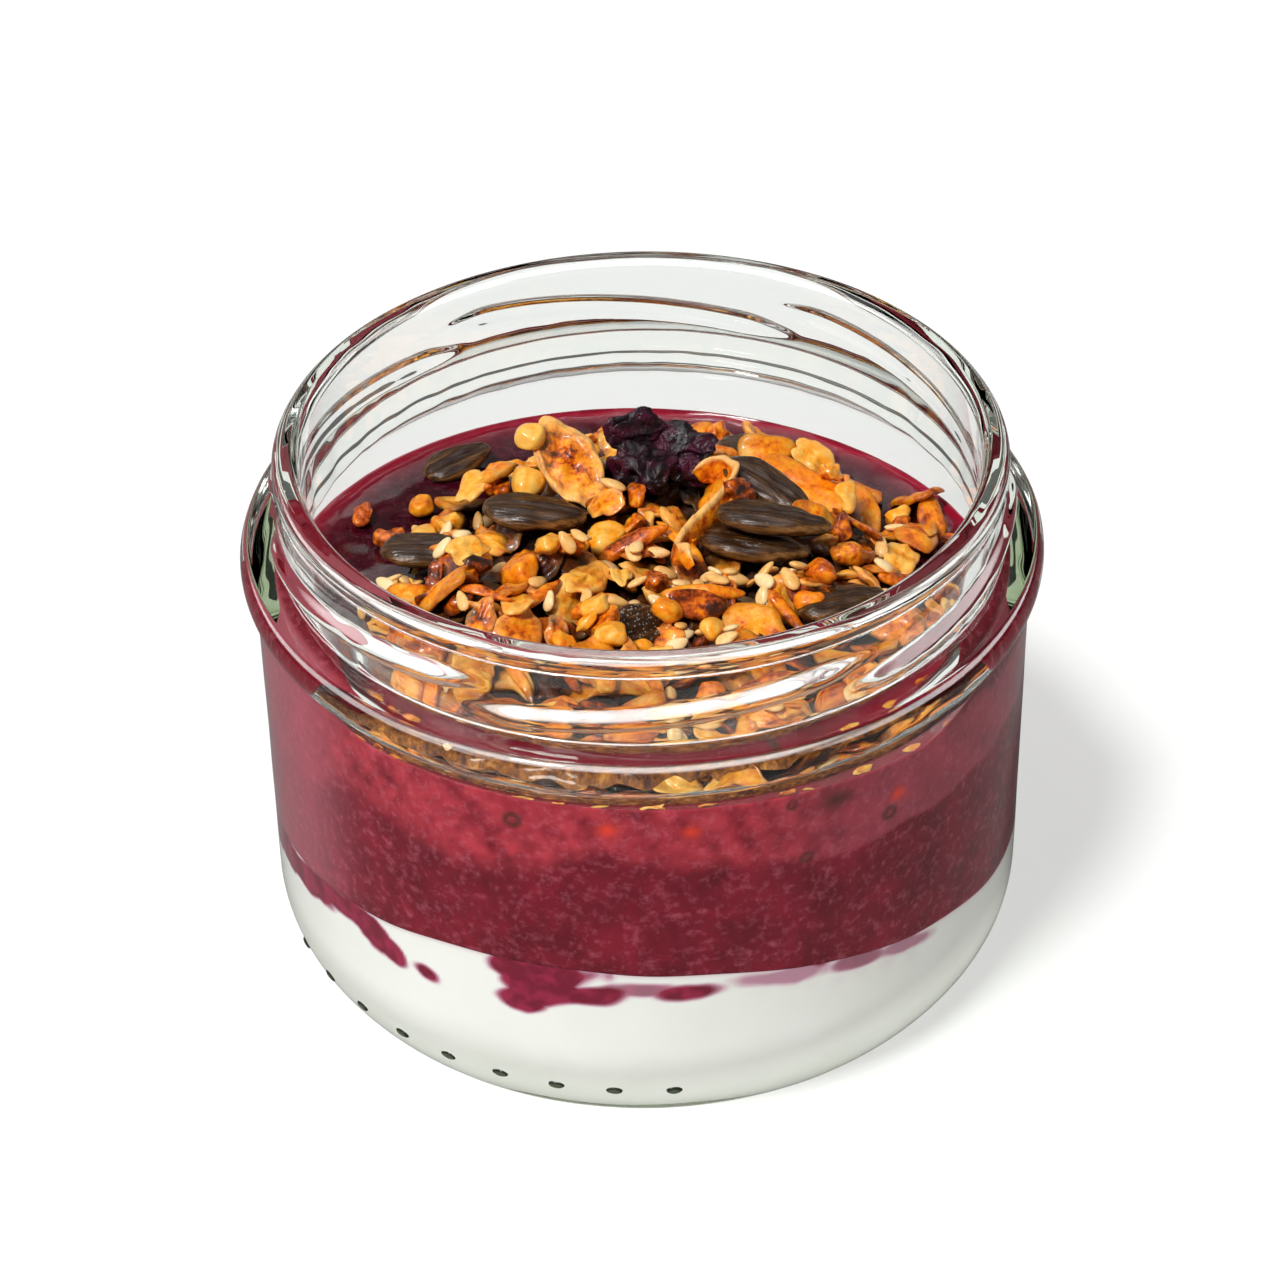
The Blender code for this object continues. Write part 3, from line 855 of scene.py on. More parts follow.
@dataclass
class Layers:
    """The yogurt and the smoothie: where they meet and how high they stand; in metres."""

    jar: GlassJar
    mean: float = 20.3 * MM
    tilt: float = 3.35 * MM
    tilt_angle: float = math.radians(-125.0)
    sag: float = 2.15 * MM
    sag_angle: float = math.radians(169.0)
    wave: float = 0.12 * MM
    top: float = 44.4 * MM
    front_rise: float = 2.1 * MM
    left_rise: float = 1.1 * MM
    into_glass: float = 0.15 * MM
    meniscus: float = 0.7 * MM
    smear: float = 5.4 * MM
    film: float = 0.12 * MM
    lap: float = 0.8 * MM
    around: int = 640
    # Degrees: where each starts, over how many it grows, where it ends, over how many it fades.
    film_span: tuple[float, ...] = (43.0, 27.0, 104.0, 18.0)
    haze_span: tuple[float, ...] = (-80.0, 12.0, -38.0, 10.0)
    froth_span: tuple[float, ...] = (-156.0, 22.0, -58.0, 20.0)
    # Painted reflection: where the pale veil lies, at the left and at the right.
    painted_veil_left: tuple[float, ...] = (100.0, 40.0, 224.0, 16.0)
    painted_veil_right: tuple[float, ...] = (-78.0, 30.0, 60.0, 40.0)

    def seam(self, angle: np.ndarray, reach: np.ndarray | float) -> np.ndarray:
        """Height where yogurt and smoothie meet.

        Args:
            angle: angle round the jar.
            reach: distance from the axis as a share of the inner radius.

        Returns:
            Height at each place.
        """
        tilted = self.tilt * reach * np.cos(angle - self.tilt_angle)
        sagged = self.sag * reach * reach * np.cos(2.0 * angle - self.sag_angle)
        wavy = self.wave * reach * (np.sin(9.0 * angle + 1.0) + 0.6 * np.sin(17.0 * angle))
        return self.mean + tilted + sagged + wavy

    def surface(self, x: np.ndarray, y: np.ndarray) -> np.ndarray:
        """Height of the smoothie's open top."""
        wide = self.jar.top_radius - self.jar.wall
        reach = np.hypot(x, y)
        climb = self.meniscus * np.exp(-np.maximum(wide - reach, 0.0) / self.meniscus)
        return self.top - (self.front_rise * y + self.left_rise * x) / wide + climb

    def smeared(self, angle: np.ndarray) -> np.ndarray:
        """How far above its top the smoothie clings to the glass: most at both sides of the front."""
        degrees = np.degrees(np.arctan2(np.sin(angle), np.cos(angle)))
        ragged = 1.0 + 0.1 * np.sin(11.0 * angle + 0.6) + 0.07 * np.sin(23.0 * angle)
        return self.smear * between(np.abs(degrees + 90.0), *self.film_span) * ragged

    def yogurt(self) -> bpy.types.Object:
        """The white layer, reaching just into the wall and a little up inside the smoothie."""
        angle = np.arange(self.around) * TAU / self.around
        grow = self.into_glass - 0.03 * MM
        heel = self.jar.inside_heel(grow, 24)
        rings = [(self.jar.floor_radius * 0.5, heel[0][1]), *heel]
        start = heel[-1][1]
        seam = self.seam(angle, 1.0) + self.lap
        rows = 64
        for step in range(1, rows + 1):
            height = start + (seam - start) * step / rows
            rings.append((self.jar.bore(height) + grow, height))
        for share in (0.97, 0.9, 0.75, 0.5, 0.25):
            rings.append((share * self.jar.bore(seam), self.seam(angle, share) + self.lap))
        points = np.concatenate([ring_points(radius, angle, height) for radius, height in rings])
        points = np.vstack([points, [0.0, 0.0, heel[0][1]], [0.0, 0.0, self.mean + self.lap]])
        shape = Shape(points, closed_faces(len(rings), self.around), {"berry": self.stain(points)})
        return install(shape.show("yogurt_layer", [SetYogurt("set_plain_yogurt")]), "yogurt", "yogurt")

    def stain(self, points: np.ndarray) -> np.ndarray:
        """How much smoothie has bled into the yogurt at each point."""
        angle = np.arctan2(points[:, 1], points[:, 0])
        below = (self.seam(angle, 1.0) - points[:, 2]) / MM
        degrees = np.degrees(angle)
        cloud = 0.6 + 0.5 * waves(points / MM, 3.5, 52)
        haze = np.exp(-np.maximum(below, 0.0) / 1.2) * between(degrees, *self.haze_span) * cloud * 0.65
        haze = np.maximum(haze, 0.35 * np.exp(-np.maximum(below, 0.0) / 0.25))
        rough = 0.13 * waves(points / MM, 6.0, 50) + 0.04 * waves(points / MM, 2.2, 51)
        reach = np.hypot(points[:, 0], points[:, 1]) / MM
        for tongue in TONGUES:
            off = np.mod(degrees - tongue.turn + 180.0, 360.0) - 180.0
            along = np.radians(off) * reach
            up = points[:, 2] / MM - tongue.height - tongue.slope * along
            inside = 1.0 - np.hypot(along / (tongue.wide / 2.0), up / (tongue.tall / 2.0)) + rough
            edge = smooth_step(0.5 + inside * tongue.tall / 1.5)
            haze = np.maximum(haze, edge * tongue.strength)
        return np.clip(haze, 0.0, 1.0)

    def smoothie(self) -> bpy.types.Object:
        """The berry layer: its side to where it clings to the glass, the film's back, and its open top."""
        angle = np.arange(self.around) * TAU / self.around
        seam = self.seam(angle, 1.0)
        wide = self.jar.top_radius - self.jar.wall
        rings = [(share * wide, self.seam(angle, share)) for share in (0.25, 0.5, 0.75, 0.9, 0.98)]
        rows = 70
        rim = self.surface(wide * np.cos(angle), wide * np.sin(angle)) + self.smeared(angle)
        for step in range(rows + 1):
            height = seam + (rim - seam) * step / rows
            rings.append((self.jar.bore(height) + self.into_glass, height))
        for share in (1.0, 0.75, 0.5, 0.25, 0.1):
            height = rim - self.smeared(angle) * (1.0 - share)
            rings.append((self.jar.bore(height) - self.film, height))
        side_rings = len(rings)
        for inset in (0.2, 0.35, 0.5, 0.8, 1.2, 1.8, 2.6, 3.6, 5.0, 7.0, 10.0, 14.0, 20.0, 28.0):
            radius = wide - inset * MM
            rings.append((radius, self.surface(radius * np.cos(angle), radius * np.sin(angle))))
        points = np.concatenate([ring_points(radius, angle, height) for radius, height in rings])
        top_start = side_rings * self.around
        points[top_start:, 2] += waves(points[top_start:, :2], 9.0 * MM, 21) * 0.12 * MM
        points = np.vstack([points, [0.0, 0.0, self.mean], [0.0, 0.0, self.top]])
        faces = closed_faces(len(rings), self.around)
        slots = np.zeros(len(faces), np.int32)
        slots[top_start - self.around : (len(rings) - 1) * self.around] = 1
        slots[-self.around :] = 1
        shape = Shape(points, faces, self.berry_values(points, top_start), slots)
        against_glass = BerryBlend("berry_blend_against_glass", gloss=0.05, roughness=0.6)
        # Painted shade and light: the open top takes darker copies of the smoothie's colours, as if in shade,
        # and its third colour paints a lit crimson edge along the glass.
        dark = ("#2A0410", "#3E0716", "#A80E30")
        in_the_open = BerryBlend("berry_blend_open_surface_painted_shade", *dark, grit=0.08, gloss=0.5, roughness=0.08)
        return install(
            shape.show("smoothie_layer", [against_glass, in_the_open]), "berry_smoothie", "smoothie"
        )

    def berry_values(self, points: np.ndarray, top_start: int) -> dict[str, np.ndarray]:
        """How airy, milky and speckled the smoothie looks at each point.

        Args:
            points: all its points.
            top_start: number of the first point of its open top.

        Returns:
            One list of values for each name that its finish reads.
        """
        wide = self.jar.top_radius - self.jar.wall
        froth_and_lit_rim, painted_veil = self.froth_and_lit_rim(points), self.painted_veil(points)
        # Painted light: on the open top the airy value holds a lit crimson edge along the glass, wider in
        # front.
        inset = wide - np.hypot(points[top_start:, 0], points[top_start:, 1])
        front = smooth_step(-points[top_start:, 1] / (0.6 * wide))
        froth_and_lit_rim[top_start:] = 0.9 * np.exp(-np.maximum(inset, 0.0) / ((1.2 + 2.6 * front) * MM))
        painted_veil[top_start:] = 0.0
        above = points[:, 2] - self.surface(points[:, 0], points[:, 1])
        clean = 1.0 - smooth_step((above - 0.2 * MM) / (2.0 * MM))
        clean[top_start:] = 1.0
        buried = np.maximum(self.spots(points, BURIED), 0.12 * (1.0 - clean))
        sparks = self.spots(points, SPARKS)
        return {"froth_and_lit_rim": froth_and_lit_rim * clean, "painted_veil": painted_veil * clean, "spark": sparks, "buried": buried}

    def airy(self, points: np.ndarray) -> np.ndarray:
        """Whether each point lies in the airy band under the top: from 0 to 1."""
        angle = np.degrees(np.arctan2(points[:, 1], points[:, 0]))
        edge = np.interp(angle, *zip(*AIRY_EDGE), period=360.0) * MM
        edge = edge + waves(points[:, :2], 9.0 * MM, 9) * 0.35 * MM
        soft = (0.5 + 3.0 * smooth_step((-55.0 - angle) / 25.0)) * MM
        return smooth_step(0.5 + (points[:, 2] - edge) / soft)

    def froth_and_lit_rim(self, points: np.ndarray) -> np.ndarray:
        """How red and airy the smoothie is at each point: most under the heap in front."""
        angle = np.degrees(np.arctan2(points[:, 1], points[:, 0]))
        front = between(angle, *self.froth_span)
        cloud = 0.85 + 0.35 * waves(points, 4.0 * MM, 12) + 0.2 * waves(points, 1.6 * MM, 13)
        return np.clip(self.airy(points) * (0.28 + 0.4 * front) * cloud, 0.0, 1.0)

    def painted_veil(self, points: np.ndarray) -> np.ndarray:
        """Painted reflection: a lighter pink veil at each point, at the left and in the band at the right,
        where the glass mirrors what is bright round it.
        """
        angle = np.degrees(np.arctan2(points[:, 1], points[:, 0]))
        left = between(np.mod(angle, 360.0), *self.painted_veil_left)
        return 0.36 * left + 0.2 * between(angle, *self.painted_veil_right) * self.airy(points)

    def spots(self, points: np.ndarray, found: Sequence[Spot]) -> np.ndarray:
        """How strongly spots at the wall show at each point."""
        degrees = np.degrees(np.arctan2(points[:, 1], points[:, 0]))
        reach = np.hypot(points[:, 0], points[:, 1]) / MM
        value = np.zeros(len(points))
        for spot in found:
            along = np.radians(np.mod(degrees - spot.turn + 180.0, 360.0) - 180.0) * reach
            up = points[:, 2] / MM - spot.height
            share = np.hypot(along / (spot.wide / 2.0), up / (spot.tall / 2.0))
            away = (share - 1.0) / 0.5 if spot.hollow else share
            value = np.maximum(value, 0.8 * np.exp(-(away**2)))
        return value


# ------------------------------------------------------------------ granola


@dataclass(frozen=True)
class Form:
    """How a small piece of food is shaped, in millimetres or as shares of its size."""

    thick: float = 0.8
    crown: float = 2.0
    point: float = 0.0
    ragged: float = 0.05
    ragged_turns: float = 1.6
    groove_pitch: float = 0.0
    groove_depth: float = 0.0
    bend: float = 0.0
    cup: float = 0.0
    crumple: float = 0.05
    crumple_size: float = 2.0
    ridge: float = 0.0
    ridge_at: float = 0.84
    ridge_width: float = 0.09
    lump: float = 0.05
    shrivel: float = 0.0
    facets: int = 0
    facet_reach: float = 0.8
    spokes: int = 20
    rings: int = 6

    def build(self, length: float, width: float, seed: int) -> Shape:
        """Make one piece, lying flat round its own middle.

        Args:
            length: its longest side.
            width: its width.
            seed: seed of its own unevenness.

        Returns:
            Its shape, with the value called rim rising to 1 at its edge.
        """
        angle = np.arange(self.spokes) * TAU / self.spokes
        circle = np.stack([np.cos(angle), np.sin(angle)], 1)
        outline = 1.0 + self.ragged * waves(circle, math.pi / self.ragged_turns, seed, 6)
        half = np.array([length / 2.0, width / 2.0, width * self.thick / 2.0])
        levels = [math.sin(step / self.rings * math.pi / 2.0) for step in range(1, self.rings + 1)]
        reach = [(0.0, 1.0)] + [(level, 1.0) for level in levels]
        reach += [(level, -1.0) for level in levels[-2::-1]] + [(0.0, -1.0)]
        found, edge = [], []
        for level, side in reach:
            ring = circle if level > 0.0 else circle[:1]
            across = outline if level > 0.0 else outline[:1]
            x = half[0] * level * across * ring[:, 0]
            y = half[1] * level * across * ring[:, 1] * (1.0 - self.point * ring[:, 0] * level)
            z = np.full(len(ring), side * half[2] * math.sqrt(max(0.0, 1.0 - level**self.crown)))
            z += side * self.ridge * math.exp(-(((level - self.ridge_at) / self.ridge_width) ** 2))
            if self.groove_pitch:
                z += side * self.groove_depth * np.sin(TAU * y / self.groove_pitch) * (1.0 - level**4)
            found.append(np.stack([x, y, z], 1))
            edge.append(np.full(len(ring), level**3))
        points = np.concatenate(found)
        points = self.broken(points / half, seed) * half
        points *= 1.0 + self.lump * waves(points / half, 1.6, seed + 1, 8)[:, None]
        if self.shrivel:
            points *= 1.0 - self.shrivel * np.abs(waves(points / half, 1.3, seed + 4, 5))[:, None]
        points[:, 2] += self.bend * length * ((points[:, 0] / half[0]) ** 2 - 0.33)
        points[:, 2] += self.cup * width * ((points[:, 1] / half[1]) ** 2 - 0.33)
        points[:, 2] += self.crumple * waves(points, self.crumple_size, seed + 2, 8)
        count = len(reach) - 2
        faces = [face[::-1] for face in ring_faces(count, self.spokes, 1)]
        faces += cap_faces(1, self.spokes, 0, True)
        faces += cap_faces(1 + (count - 1) * self.spokes, self.spokes, len(points) - 1, False)
        return Shape(points, faces, {"rim": np.concatenate(edge)})

    def broken(self, points: np.ndarray, seed: int) -> np.ndarray:
        """Flatten the shape, in units of its half sizes, where it has broken along random planes."""
        draw = np.random.default_rng(seed + 3)
        for _ in range(self.facets):
            facing = draw.normal(size=3) * (1.0, 1.0, 1.3)
            facing /= np.linalg.norm(facing)
            reach = self.facet_reach * draw.uniform(0.85, 1.1)
            over = np.maximum(points @ facing - reach, 0.0)
            points = points - over[:, None] * facing
        return points


class Kind(Enum):
    """The kinds of small thing in the granola, by the name of their piece."""

    KERNEL = "honey_kernels"
    OAT = "rolled_oats"
    CHUNK = "caramel_crumbs"
    STICK = "coconut_slivers"
    SLICE = "almond_flakes"
    SESAME = "sesame_seeds"


@dataclass(frozen=True)
class KindFacts:
    """Shape, finish and ranges of one kind of bit: width is a share of length, lean is in degrees."""

    form: Form
    finish: Finish
    length: tuple[float, float]
    width: tuple[float, float]
    tone: tuple[float, float]
    lean: float


FACTS: dict[Kind, KindFacts] = {
    Kind.KERNEL: KindFacts(
        Form(
            thick=0.74, crown=2.4, point=0.12, ragged=0.07, lump=0.08, crumple=0.06, facets=5, spokes=26,
            rings=9,
        ),
        ToastedFood(
            "honey_glazed_kernel", rim_share=0.0, mottle=1.9, spread=0.34, relief=0.06, glaze=0.5, glow=0.15
        ),
        length=(2.4, 3.8), width=(0.65, 0.95), tone=(0.4, 0.9), lean=20.0,
    ),
    Kind.OAT: KindFacts(
        Form(
            thick=0.22, crown=5.0, point=0.06, ragged=0.14, ragged_turns=2.2, groove_pitch=1.0,
            groove_depth=0.1, bend=0.04, cup=-0.06, crumple=0.2, crumple_size=2.4, spokes=32, rings=8,
        ),
        ToastedFood("toasted_rolled_oat", rim="#F4C67C", mottle=1.6, spread=0.5, relief=0.14, glaze=0.3),
        length=(4.6, 7.4), width=(0.55, 0.75), tone=(0.35, 0.85), lean=32.0,
    ),
    Kind.CHUNK: KindFacts(
        Form(
            thick=0.6, crown=3.0, ragged=0.12, ragged_turns=2.4, crumple=0.16, crumple_size=1.5, lump=0.08,
            facets=10, facet_reach=0.74, spokes=28, rings=9,
        ),
        ToastedFood("caramel_crumb", CARAMEL, rim_share=0.1, mottle=1.3, spread=0.45, relief=0.15, glaze=0.5),
        length=(2.6, 5.2), width=(0.6, 0.9), tone=(0.25, 0.85), lean=30.0,
    ),
    Kind.STICK: KindFacts(
        Form(
            thick=0.5, crown=3.0, point=0.16, ragged=0.08, bend=0.05, crumple=0.16, crumple_size=3.0,
            facets=3, spokes=22,
        ),
        ToastedFood(
            "toasted_coconut_sliver", rim_share=0.15, mottle=2.6, spread=0.42, relief=0.06, glaze=0.4
        ),
        length=(5.0, 9.0), width=(0.14, 0.26), tone=(0.2, 0.7), lean=18.0,
    ),
    Kind.SLICE: KindFacts(
        Form(
            thick=0.15, crown=8.0, point=0.15, ragged=0.09, bend=0.04, cup=0.06, crumple=0.22,
            crumple_size=3.4, spokes=36, rings=8,
        ),
        ToastedFood(
            "toasted_almond_flake", rim="#70300A", rim_share=0.5, mottle=2.2, spread=0.55, relief=0.1,
            glaze=0.35,
        ),
        length=(5.5, 8.5), width=(0.5, 0.75), tone=(0.3, 0.75), lean=36.0,
    ),
    Kind.SESAME: KindFacts(
        Form(thick=0.55, crown=2.2, point=0.28, ragged=0.02, crumple=0.02, lump=0.03, spokes=16, rings=5),
        ToastedFood(
            "toasted_sesame_seed", SESAME, rim_share=0.0, mottle=2.0, spread=0.14, relief=0.03, glow=0.15
        ),
        length=(2.3, 3.1), width=(0.46, 0.6), tone=(0.6, 1.0), lean=25.0,
    ),
}


@dataclass(frozen=True)
class Bit:
    """One bit that is laid: millimetres, degrees, and how pale it is."""

    kind: Kind
    x: float
    y: float
    yaw: float
    length: float
    width: float
    tone: float


@dataclass(frozen=True)
class Patch:
    """A handful of one kind dropped round one place."""

    kind: Kind
    x: float
    y: float
    spread: float
    count: int


# The bits that give the heap its own face, from the left round to the right.
LAID = (
    Bit(Kind.KERNEL, -31.0, 15.0, 75, 3.5, 2.5, 0.25),
    Bit(Kind.CHUNK, -27.5, 10.0, 25, 3.5, 3.8, 0.35),
    Bit(Kind.KERNEL, -24.5, 17.0, 90, 4.5, 2.8, 0.6),
    Bit(Kind.KERNEL, -24.0, 9.0, 0, 3.5, 4.0, 0.85),
    Bit(Kind.CHUNK, -21.0, 11.0, 65, 5.5, 4.0, 0.85),
    Bit(Kind.SLICE, -20.0, 17.5, 20, 7.0, 5.6, 0.7),
    Bit(Kind.CHUNK, -15.0, 19.5, 25, 6.5, 4.0, 0.8),
    Bit(Kind.OAT, -16.0, 22.5, 40, 6.0, 4.4, 0.65),
    Bit(Kind.SLICE, -16.0, 15.5, -30, 6.5, 5.0, 0.75),
    Bit(Kind.KERNEL, -12.0, 15.5, 10, 3.8, 3.6, 0.95),
    Bit(Kind.OAT, -10.5, 27.0, 70, 5.0, 3.6, 0.6),
    Bit(Kind.OAT, -18.5, 14.0, -15, 4.5, 4.3, 0.85),
    Bit(Kind.KERNEL, -12.5, 12.0, 0, 3.6, 4.5, 0.85),
    Bit(Kind.KERNEL, -12.0, 23.0, 90, 4.0, 2.6, 0.8),
    Bit(Kind.KERNEL, -6.0, 23.0, -40, 3.0, 2.8, 0.7),
    Bit(Kind.OAT, -6.5, 26.0, -60, 6.0, 3.0, 0.5),
    Bit(Kind.OAT, -16.5, 4.5, -10, 5.2, 4.0, 0.65),
    Bit(Kind.SESAME, -19.5, 4.5, 20, 2.2, 2.0, 1.0),
    Bit(Kind.KERNEL, -17.0, -2.5, 90, 3.2, 2.0, 0.9),
    Bit(Kind.OAT, -18.5, -4.5, 20, 4.5, 3.6, 0.9),
    Bit(Kind.CHUNK, -17.5, -7.0, 25, 4.5, 2.8, 0.05),
    Bit(Kind.CHUNK, -22.0, -5.0, 80, 4.0, 2.2, 0.3),
    Bit(Kind.KERNEL, -13.0, -5.0, -60, 5.5, 4.5, 0.5),
    Bit(Kind.SLICE, -14.5, -10.0, 20, 6.0, 5.5, 0.45),
    Bit(Kind.KERNEL, -10.0, -3.0, 90, 5.5, 3.0, 0.8),
    Bit(Kind.OAT, -6.0, -7.0, 65, 8.0, 4.0, 0.7),
    Bit(Kind.STICK, -4.0, -10.0, 60, 6.5, 2.2, 0.4),
    Bit(Kind.STICK, -10.5, -11.0, 55, 6.5, 1.3, 0.35),
    Bit(Kind.KERNEL, -4.0, 2.5, 15, 4.5, 4.2, 0.75),
    Bit(Kind.STICK, -1.0, 0.5, 15, 9.0, 2.6, 0.25),
    Bit(Kind.OAT, -2.5, -4.5, -80, 5.0, 2.5, 0.9),
    Bit(Kind.CHUNK, 1.5, -6.5, 25, 3.5, 3.6, 0.3),
    Bit(Kind.STICK, 6.5, -8.5, 10, 9.5, 2.0, 0.5),
    Bit(Kind.STICK, 6.0, -10.5, 10, 7.5, 3.6, 0.15),
    Bit(Kind.SLICE, 11.5, -13.0, -25, 7.0, 6.2, 0.65),
    Bit(Kind.STICK, 8.0, -14.5, -40, 6.0, 1.7, 0.5),
    Bit(Kind.STICK, 15.5, -10.0, -45, 8.5, 1.4, 0.35),
    Bit(Kind.SLICE, 14.0, 21.0, 10, 6.5, 4.0, 0.7),
    Bit(Kind.SLICE, 24.0, 19.0, 10, 7.5, 5.0, 0.5),
    Bit(Kind.OAT, 19.5, 21.5, -30, 5.5, 3.8, 0.75),
    Bit(Kind.KERNEL, 28.5, 15.5, 50, 3.4, 2.8, 0.8),
    Bit(Kind.SLICE, 30.5, 9.5, 65, 7.0, 4.8, 0.55),
    Bit(Kind.STICK, 32.0, 12.0, 80, 6.5, 1.6, 0.7),
    Bit(Kind.OAT, 33.5, 2.0, 85, 5.5, 3.6, 0.45),
    Bit(Kind.CHUNK, 21.0, 15.5, 40, 3.2, 3.0, 0.7),
    Bit(Kind.KERNEL, 22.5, 12.0, 80, 4.5, 2.8, 0.85),
    Bit(Kind.SLICE, 27.0, 10.5, 15, 6.5, 4.8, 0.45),
    Bit(Kind.SESAME, 28.0, 11.5, 0, 2.6, 1.4, 0.95),
    Bit(Kind.OAT, 28.0, 4.0, 80, 7.0, 3.8, 0.8),
    Bit(Kind.CHUNK, 22.5, 1.0, 15, 5.5, 4.5, 0.5),
    Bit(Kind.STICK, 23.0, 3.0, 30, 5.5, 1.2, 0.9),
    Bit(Kind.OAT, 20.5, -3.0, -5, 6.5, 2.8, 0.7),
    Bit(Kind.SLICE, 32.0, 5.0, 60, 5.0, 3.0, 0.25),
    Bit(Kind.STICK, 28.5, -2.0, 10, 7.5, 1.8, 0.35),
    Bit(Kind.KERNEL, 19.0, -5.0, -65, 4.5, 3.4, 0.3),
    Bit(Kind.SESAME, 27.0, -5.0, -5, 3.4, 1.6, 0.8),
)

# Handfuls that lie together.
PATCHES = (
    Patch(Kind.SESAME, 3.0, -10.5, 4.0, 16),
    Patch(Kind.SESAME, 5.0, -6.0, 2.6, 8),
    Patch(Kind.SESAME, 13.0, -6.0, 3.0, 7),
    Patch(Kind.SESAME, -26.0, -2.0, 3.5, 7),
    Patch(Kind.SESAME, -6.5, -2.5, 2.5, 4),
    Patch(Kind.SESAME, 28.0, 4.0, 4.0, 6),
    Patch(Kind.KERNEL, 2.0, -16.0, 5.0, 7),
    Patch(Kind.KERNEL, -5.0, -15.5, 3.0, 4),
    Patch(Kind.OAT, 24.0, -6.0, 4.0, 3),
    Patch(Kind.STICK, 3.0, 2.5, 3.0, 3),
    Patch(Kind.SLICE, 26.0, 12.0, 6.0, 7),
    Patch(Kind.CHUNK, 27.0, 8.0, 5.0, 6),
)


